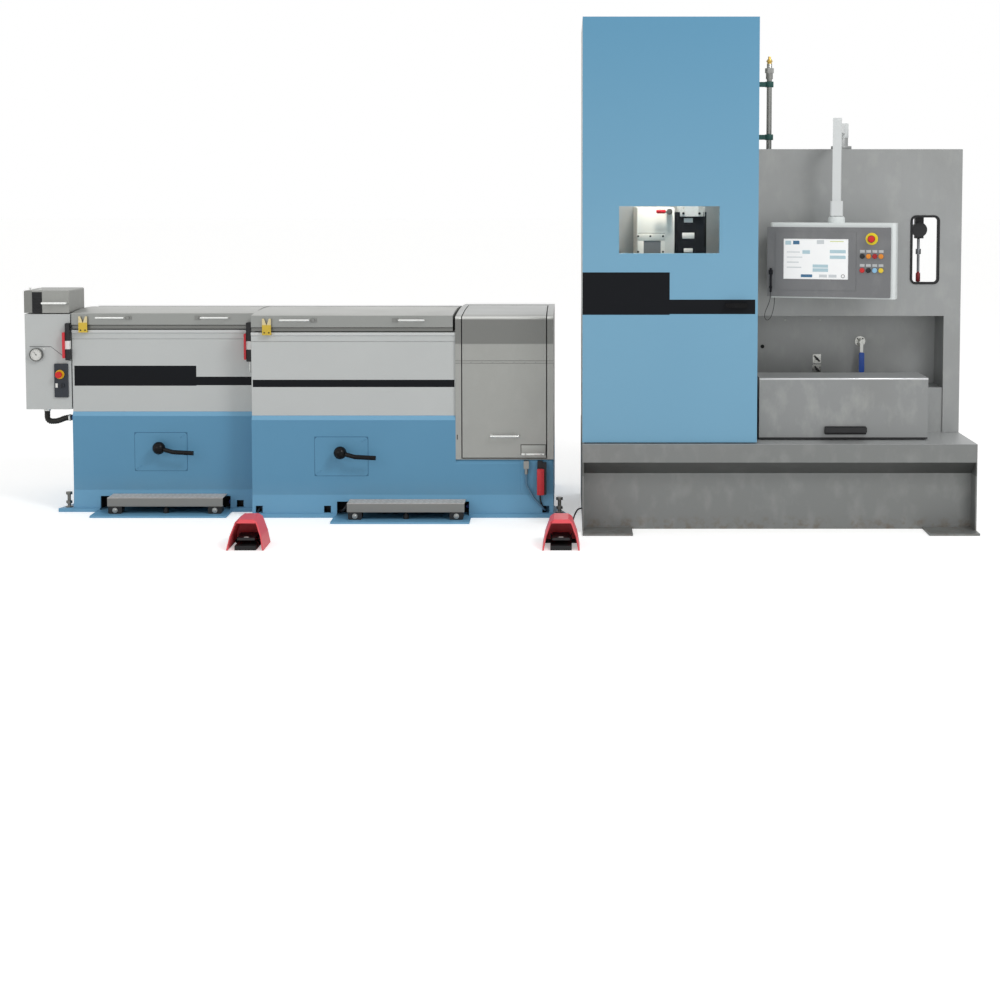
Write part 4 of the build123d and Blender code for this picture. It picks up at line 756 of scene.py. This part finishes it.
lathe(hose_nut, [(19, 0), (21, 1.5), (21, 17), (19, 18)], at(251, 720, 540), (1, 0, 0), 6)
piece("hose_nut", hose_nut, moulded("nut_blue", "2f66a8", 0.35).made())

# Section levers: glossy black hubs, turned as balls and pinned to spindles that come through the cover
# plates. Each carries one long bent bar with a moulded grip.
lever_black = moulded("lever_black", "0d0d0f", 0.22, 0.16)
lever_paint = dress(lever_black, "section_1_lever", "section_2_lever", edge=0)

# Spray hose: a small grey metal connector screwed in under the capstan sill, with a blue-grey rubber hose
# that is pushed on and runs into the base's port. The black cable of the third switch runs down beside it.
SPRAY_TOP = 0.25
hose_grey = moulded("hose_grey", "587d97", 0.4)
hose_grey.tint(hose_grey.z.above(SPRAY_TOP), "9a9b97", rough=0.3, metal=0.7)
dress(hose_grey, "spray_hose", edge=0)
cable_corners = ((2983, 455, 134), (2984, 451, 100), (2996, 448, 66), (3008, 452, 52), (3012, 474, 48))
switch_cable = bmesh.new()
tube(switch_cable, rounded_path([at(*corner) for corner in cable_corners], 22), 4.5, 12)
piece("switch_cable", switch_cable, gasket_rubber)

# Foot switches: red enamelled cast hoods over black moulded bases, each with a ribbed pedal on a pin. Their
# leads are round black cables that lie loosely on the floor, smooth splines along the CAD tubes' routes.
PEDAL_CENTRES = (1465.0, 3106.0)
LEAD_RADIUS = 0.0045
hood_red = powder("hood_red", "ee545e", "e0434e", 0.34)
dress(hood_red, "foot_hoods", edge=0.006)
pedal_black = moulded("pedal_black", "121214", 0.5)
tread_ribs = (pedal_black.y * 110.0).math("FRACT") - 0.5
pedal_black.raise_by(tread_ribs.math("ABSOLUTE") * 0.0012)
dress(pedal_black, "foot_bases", "foot_pedal_1", "foot_pedal_2", edge=0.0015)
mark_white = moulded("mark_white", "e4e4e0", 0.5).made()
for number, centre_x in enumerate(PEDAL_CENTRES, 1):
    mark = bmesh.new()
    slab(mark, (centre_x - 12, -440, 60.4), (centre_x + 12, -426, 61.9), 0.5)
    piece(f"pedal_mark_{number}", mark, mark_white, f"pedal_{number}")
black_cable = moulded("black_cable", "17181a", 0.45).made()
foot_route_1 = [
    at(1465, -260, 11),
    at(1465, -175, 11),
    at(1457, -65, 5),
    at(1431, 50, 5),
    at(1405, 160, 5),
    at(1393, 270, 5),
    at(1383, 373, 12),
    at(1379, 421, 42),
    at(1379, 471, 50),
    at(1379, 525, 50),
]
foot_route_2 = [
    at(3106, -260, 11),
    at(3106, -198, 11),
    at(3128, -125, 5),
    at(3146, -55, 5),
    at(3158, 2, 14),
    at(3166, 42, 48),
    at(3180, 68, 92),
    at(3200, 74, 122),
    at(3221, 74, 122),
]
foot_lay = {"stiffness": "medium", "lay": "loose"}
lead("foot_lead_1", foot_route_1, LEAD_RADIUS, "line", "foot_cord_1", black_cable, length=0.80, **foot_lay)
lead("foot_lead_2", foot_route_2, LEAD_RADIUS, "line", "foot_cord_2", black_cable, length=0.43, **foot_lay)

# Annealer base: plate of a duller steel, folded with a sloped front, standing on slotted foot plates that
# are welded on and bolted to the floor. Heat marks of the welds show at the feet. The sloped band of the
# front is painted darker as painted shade, and the top is painted lighter as painted light.
SLOPE_FROM, SLOPE_TO = 0.31, 0.3855
BASE_TOP = 0.4845
base_steel = stainless("base_steel", "838584", "x", 0.45, 0.42)
# painted shade on the sloped band of the front
slope_shade = base_steel.z.between(SLOPE_FROM, SLOPE_TO, 0.001) * base_steel.before(115)
base_steel.tint(slope_shade * 0.6, "474846")
# painted light: the top of the base is painted lighter
base_steel.tint(base_steel.z.above(BASE_TOP, 0.001) * 0.8, "b4b6b6")
heat = (1.0 - base_steel.z.above(0.03, 0.05)) * (base_steel.noise(26.0, 4.0) - 0.48).clamped() * 4.0
base_steel.tint(heat.clamped() * 0.5, "6a543c")
dress(base_steel, "annealer_base", edge=0.002)

# Tower door: blue powder-coated sheet on hinges down its left edge, with a black band printed across. It is
# painted darker towards its top as painted shade. A clear window is set into it, and a black lever on a
# spindle closes it.
DOOR_BLUE = "79a8c3"
DOOR_BLUE_TOP_SHADE = "6397b6"
DOOR_BANDS = (((3200, 0, 1190), (3694, 31, 1421)), ((3693, 0, 1194), (4159, 31, 1273)))
door_blue = powder("door_blue", DOOR_BLUE, "74a3bf", 0.4, 0.12)
# painted shade: the door grows darker towards its top
door_blue.tint(door_blue.z.above(1.5, 1.3), DOOR_BLUE_TOP_SHADE)
for band in DOOR_BANDS:
    door_blue.tint(door_blue.box(*band), BAND_BLACK, rough=BAND_GLOSS)
dress(door_blue, "annealer_door", edge=0.002)
dress(lever_paint, "door_lever", edge=0.001)
glass = Finish("door_glass", "2a3032", roughness=0.02, specular=0.25)
glass.shader.inputs["Alpha"].default_value = 0.06
dress(glass, "door_window", edge=0)

# Inside the tower, behind the window: stainless walls, the cream powder-coated housing of the wire drive
# with a screwed cover and a red grip, and the black column of the inductor under a bolted white collar. A
# small lamp lights them.
DRIVE_FACE = 430.0
COLUMN_FACE = 436.0
DRIVE_COVER = ((3536, 3688, 1580, 1620), (3536, 3569, 1392, 1580), (3665, 3688, 1392, 1580))
DRIVE_COVER += ((3569, 3665, 1392, 1410),)
DRIVE_SCREWS = ((3538, 1606), (3607, 1606), (3678, 1606), (3538, 1518), (3678, 1518))
COLLAR_PLAN = ((3766, 440), (3802, 422), (3878, 422), (3914, 440))
COLLAR_FOOT, COLLAR_HEAD = 1717, 1771
COLUMN_PLATES = ((3796, 3846, 1683, 1707), (3787, 3855, 1592, 1625), (3796, 3846, 1514, 1537))
GRIP_HEIGHT = 1745
tower_steel = stainless("tower_steel", "c4c5c3", "z", 0.5, 0.4)
dress(tower_steel, "annealer_cabinet", edge=0.001)
cream = powder("drive_cream", "efeee6", "e4e2d8", 0.45)
cream.tint(cream.box((3568, 429, 1409), (3666, 431, 1581)), "8a8b8c", rough=0.5)
cream.tint(cream.box((3535, 429, 1620), (3689, 431, 1624)), "96958e", rough=0.7)
cream.tint(cream.box((3636, 380, 1730), (3691, 412, 1760)), "d2232e", rough=0.3)
cream.tint(cream.box((3691, 380, 1725), (3734, 429, 1765)), "6e6f6c", rough=0.3, metal=0.6)
wire_drive = bmesh.new()
slab(wire_drive, (3531, DRIVE_FACE, 1390), (3743, 980, 1766), 4.0)
for left, right, low, high in DRIVE_COVER:
    slab(wire_drive, (left, DRIVE_FACE - 3, low), (right, DRIVE_FACE + 1, high), 0.4)
lathe(wire_drive, [(17, -1), (17, 42), (14, 45)], at(3712, DRIVE_FACE, GRIP_HEIGHT))
lathe(wire_drive, [(6, 0), (6, 24)], at(3688, 396, GRIP_HEIGHT), (1, 0, 0), 12)
lathe(wire_drive, [(7, 0), (11, 4), (11, 46), (8, 51)], at(3639, 396, GRIP_HEIGHT), (1, 0, 0), 20)
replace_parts(piece("wire_drive", wire_drive, cream.made()), "drive_housing")
column_black = moulded("column_black", "1a1c20", 0.4, 0.15)
column_paint = dress(column_black, "inductor_column", edge=0.002)
flange_white = bare_metal("flange_white", "e4e5e1", 0.32)
flange_white.metal = 0.4
flange_paint = dress(flange_white, "column_flange", edge=0.001)
inside_screws = bmesh.new()
for x, z in DRIVE_SCREWS:
    screw(inside_screws, at(x, DRIVE_FACE - 3, z), 6, 2.5)
piece("inside_screws", inside_screws, dial_black)
plates = bmesh.new()
for left, right, low, high in COLUMN_PLATES:
    slab(plates, (left, COLUMN_FACE - 2, low), (right, COLUMN_FACE + 1, high), 0.6)
piece("column_plates", plates, mark_white)
collar = bmesh.new()
lower, upper = ([collar.verts.new(at(x, y, z)) for x, y in COLLAR_PLAN] for z in (COLLAR_FOOT, COLLAR_HEAD))
for here, after in ((0, 1), (1, 2), (2, 3), (3, 0)):
    collar.faces.new((lower[here], lower[after], upper[after], upper[here]))
collar.faces.new(list(reversed(lower)))
collar.faces.new(upper)
piece("column_collar", collar, flange_paint, smooth=False)
collar_bolts = bmesh.new()
for bolt_x in (3792, 3882):
    lathe(collar_bolts, [(8, -10), (8, 5), (6, 6)], at(bolt_x, 425, 1734), steps=6)
piece("collar_bolts", collar_bolts, dial_black)
tower_lamp = softbox("tower_lamp", at(3700, 230, 2350), at(3700, 480, 1600), 0.2, 0.2, 11.5)
tower_lamp.color = (1.0, 0.93, 0.84)

# Wall with its return: folded stainless sheet, brushed upright, welded to the tower. The slot through it is
# edged with a pushed-on black rubber seal.
wall_steel = stainless("wall_steel", "9d9f9f", "z", 0.6, 0.42)
wall_paint = dress(wall_steel, "wall", edge=0.0015)
rubber = moulded("slot_rubber", "121315", 0.6)
dress(rubber, "rubber_seals", "quench_grip", edge=0.001)

# Recess over the tank: a box of folded stainless, screwed into the wall, with a cable hole whose inside is
# painted near-black as painted shade. A ball valve with a blue sleeved lever is bolted on, and a pair of
# turning latches sits beside it.
VALVE = (4844.0, 986.0)
VALVE_BOLT_CIRCLE = 22.0
VALVE_GRIP_TOP = 0.926
RECESS_LATCHES = (884, 824)
recess_steel = stainless("recess_steel", "999b9b", "z", 0.6, 0.42)
# painted shade: the cable hole is a near-black disc
cable_hole_shade = recess_steel.disc(4276, 955, 11) * (1.0 - recess_steel.before(726))
recess_steel.tint(cable_hole_shade, "0e0f10", rough=0.9, metal=0.0)
dress(recess_steel, "recess", "quench_tank", edge=0.001)
fittings = bare_metal("fittings", "cdcec9", 0.25)
for latch_z in RECESS_LATCHES:
    lever_bar = fittings.box((4570, 700, latch_z - 25), (4616, 724, latch_z + 25))
    fittings.tint(lever_bar, "2c2d2e", rough=0.3, metal=0.3)
dress(fittings, "recess_fittings", edge=0.0006)
recess_screws = bmesh.new()
for screw_x in (4406, 4610):
    screw(recess_screws, at(screw_x, 730, 1110), 7, 3)
piece("recess_screws", recess_screws, screw_metal)
valve_bolts = bmesh.new()
for turn in range(4):
    angle = math.radians(45 + 90 * turn)
    spoke = Vector((math.cos(angle), 0, math.sin(angle))) * (VALVE_BOLT_CIRCLE / 1000)
    lathe(valve_bolts, [(4, -0.5), (4, 3), (3, 3.6)], at(VALVE[0], 724, VALVE[1]) + spoke, steps=12)
piece("valve_bolts", valve_bolts, dial_black)
blue_grip = moulded("valve_blue", "2c4f9e", 0.35)
blue_grip.tint(blue_grip.z.above(VALVE_GRIP_TOP), "c9cac6", rough=0.3, metal=0.9)
dress(blue_grip, "valve_lever", edge=0.001)

# Quench hood: cover of folded stainless on a hinge along its back edge, full of hand marks, with its top
# painted lighter as painted light and a painted highlight at the fold. Its hem stands a little off the
# base, with a painted shadow under it, and a black moulded grip is screwed on.
HOOD_TOP = 0.8295
HOOD_HEM = 0.5
quench_steel = stainless("quench_steel", "929494", "y", 0.9, 0.4)
# painted light: the top of the hood is painted lighter
quench_steel.tint(quench_steel.z.above(HOOD_TOP, 0.002), "c3c5c6")
# painted highlight along the top front fold
fold_highlight = quench_steel.z.between(0.82, HOOD_TOP, 0.002) * quench_steel.before(185)
quench_steel.tint(fold_highlight * 0.8, "dcdedf", rough=0.25)
hem_shadow = (1.0 - quench_steel.z.above(HOOD_HEM, 0.001)) * quench_steel.before(173)
quench_steel.tint(hem_shadow, "1d1e1f", rough=0.7, metal=0.0)
dress(quench_steel, "quench_hood", edge=0.002)

# Sensor pipe in the slot: a black moulded valve body with its cable, screwed on a bare steel pipe that
# stands in a red fitting.
SENSOR_BODY_FOOT = 1.585
SENSOR_FITTING_TOP = 1.4
sensor = bare_metal("sensor_pipe", "8d9094", 0.35)
sensor.tint(sensor.z.above(SENSOR_BODY_FOOT), "17181a", rough=0.5, metal=0.0)
sensor.tint(1.0 - sensor.z.above(SENSOR_FITTING_TOP), "8e2a2e", rough=0.4, metal=0.2)
dress(sensor, "sensor_pipe", edge=0.0006)

# Air pipe behind the wall: a bare drawn pipe with a brass nipple on its end, held on the tower's side in two
# dark green moulded clamps.
NIPPLE_FOOT = 2.582
air = bare_metal("air_pipe", "a0a19e", 0.3)
air.tint(air.z.above(NIPPLE_FOOT), "c8a95a")
dress(air, "air_pipe", edge=0.0005)
dress(moulded("clamp_green", "1f4d48", 0.5), "pipe_clamps", edge=0.001)

# Support arm: square steel tube in pale powder coat with a cast cap, turning on a base of turned steel that
# is bolted to the wall.
arm_white = powder("arm_white", "d6d9d9", "ced2d2", 0.4)
dress(arm_white, "support_arm", edge=0.003)
dress(wall_paint, "arm_mount", edge=0.001)

# Operator panel: pale folded case turned towards the drawing machine, with a dark brushed front plate
# screwed on. A white screen, two rows of capped buttons and an emergency stop are set into the plate. The
# stylus hangs at the left on its cord.
STYLUS_RADIUS = 0.0016
PANEL_TURN = math.radians(16.0)
PANEL_X = 4625.0
PANEL_Y = 230.0
FACE = -70.0
SCREEN_FACE = -72.5
BUTTON_COLUMNS = (152.0, 186.0, 220.0, 254.0)
BUTTON_ROWS = (1505.0, 1428.0)
STOP_ACROSS, STOP_HEIGHT = 203, 1600


def on_panel(across, back, z):
    """A place on the operator panel, which stands turned towards the drawing machine."""
    x = PANEL_X + across * math.cos(PANEL_TURN) + back * math.sin(PANEL_TURN)
    y = PANEL_Y - across * math.sin(PANEL_TURN) + back * math.cos(PANEL_TURN)
    return at(x, y, z)


def on_screen(name, fields, shade):
    """Blank fields that lie on the screen, each as (left, right, low, high)."""
    shown = bmesh.new()
    for left, right, low, high in fields:
        slab(shown, (left, SCREEN_FACE - 0.4, low), (right, SCREEN_FACE + 0.2, high), 0.15, on_panel)
    paint = Finish(name, shade, roughness=0.3).made()
    piece(name, shown, paint, "panel", smooth=False)


front_of_panel = Vector((-math.sin(PANEL_TURN), -math.cos(PANEL_TURN), 0))
case_grey = powder("case_grey", "dbe0df", "d3d8d8", 0.4)
dress(case_grey, "panel_case", edge=0.002)
plate_dark = stainless("plate_dark", "77787a", "x", 0.3, 0.4)
dress(plate_dark, "panel_plate", edge=0.0008)
dress(Finish("screen", "fcfdfd", roughness=0.3, specular=0.3), "screen", edge=0)
buttons = moulded("buttons", "1b1c1f", 0.35)
dress(buttons, "panel_buttons", edge=0)
dress(column_paint, "stylus", edge=0.0005)
pale_fields = [(-176, -134, 1515, 1535), (-25, 62, 1520, 1538), (-25, 62, 1489, 1507)]
pale_fields += [(-119, -34, 1440, 1457), (-119, -34, 1417, 1436), (-271, -239, 1565, 1587)]
grey_fields = [(-83, -40, 1386, 1402), (-31, 13, 1386, 1402), (-97, -57, 1570, 1591)]
for low, right in ((1522, -190), (1494, -176), (1466, -196), (1438, -181)):
    grey_fields.append((-262, right, low, low + 5))
on_screen("screen_fields", pale_fields, "b2cdd6")
on_screen("screen_icons", [(-228, -193, 1567, 1587), (-184, -121, 1386, 1402)], "3b6d90")
on_screen("screen_greys", grey_fields, "cdd2d5")
on_screen("screen_line", [(-25, 50, 1582.5, 1585.5)], "c3cf3a")
ring = bmesh.new()
for step in range(24):
    first, second = (math.tau * part / 24 for part in (step, step + 1))
    ends = [(48 + 9 * math.cos(way), SCREEN_FACE - 0.6, 1394 + 9 * math.sin(way)) for way in (first, second)]
    tube(ring, [on_panel(*end) for end in ends], 1.1, 6)
piece("screen_ring", ring, dial_black, "panel")
cap_shades = {
    "cap_black": ("191a1c", ((0, 0), (1, 1))),
    "cap_orange": ("e08a2c", ((0, 1), (0, 3))),
    "cap_dark_red": ("a31a22", ((0, 2),)),
    "cap_red": ("c92a2a", ((1, 0),)),
    "cap_light_blue": ("8fc0e0", ((1, 2),)),
    "cap_yellow": ("e4c53a", ((1, 3),)),
}
cap_profile = [(12.9, -9.6), (13.6, -8), (13.6, -1.5), (11.5, 1.2), (6, 2.0)]
for name, (shade, places) in cap_shades.items():
    caps = bmesh.new()
    for row, column in places:
        centre = on_panel(BUTTON_COLUMNS[column], FACE - 10, BUTTON_ROWS[row])
        lathe(caps, cap_profile, centre, front_of_panel, 26)
    piece(name, caps, moulded(name, shade, 0.32).made(), "panel")
button_labels = bmesh.new()
for column in BUTTON_COLUMNS:
    for row in BUTTON_ROWS:
        low, high = (column - 13, FACE - 0.8, row + 19), (column + 13, FACE + 0.4, row + 34)
        slab(button_labels, low, high, 0.3, on_panel)
label_grey = moulded("label_grey", "b9bcbd", 0.45).made()
piece("button_labels", button_labels, label_grey, "panel")
stop_plate = bmesh.new()
plate_profile = [(33.4, -4.8), (33.4, 0.4), (32.6, 0.8)]
lathe(stop_plate, plate_profile, on_panel(STOP_ACROSS, FACE - 5, STOP_HEIGHT), front_of_panel, 36)
piece("stop_plate", stop_plate, moulded("stop_yellow", "ead21f", 0.4).made(), "panel")
stop_head = bmesh.new()
head_profile = [(19, -13.5), (20.4, -12.5), (20.4, -1.5), (17, 0.6), (10, 1.4)]
lathe(stop_head, head_profile, on_panel(STOP_ACROSS, FACE - 35, STOP_HEIGHT), front_of_panel, 32)
piece("stop_head", stop_head, moulded("stop_red", "cf2420", 0.28).made(), "panel")
stylus_route = [
    on_panel(-350, -81, 1302),
    on_panel(-350, -81, 1268),
    on_panel(-364, -77, 1226),
    on_panel(-384, -67, 1186),
    on_panel(-388, -53, 1154),
    on_panel(-374, -39, 1138),
    on_panel(-356, -25, 1156),
    on_panel(-346, -15, 1194),
    on_panel(-340, -7, 1234),
    on_panel(-340, -7, 1270),
]
stylus_lay = {"length": 0.325, "stiffness": "limp", "lay": "hanging"}
lead("stylus_lead", stylus_route, STYLUS_RADIUS, "panel", "stylus_cord", black_cable, **stylus_lay)
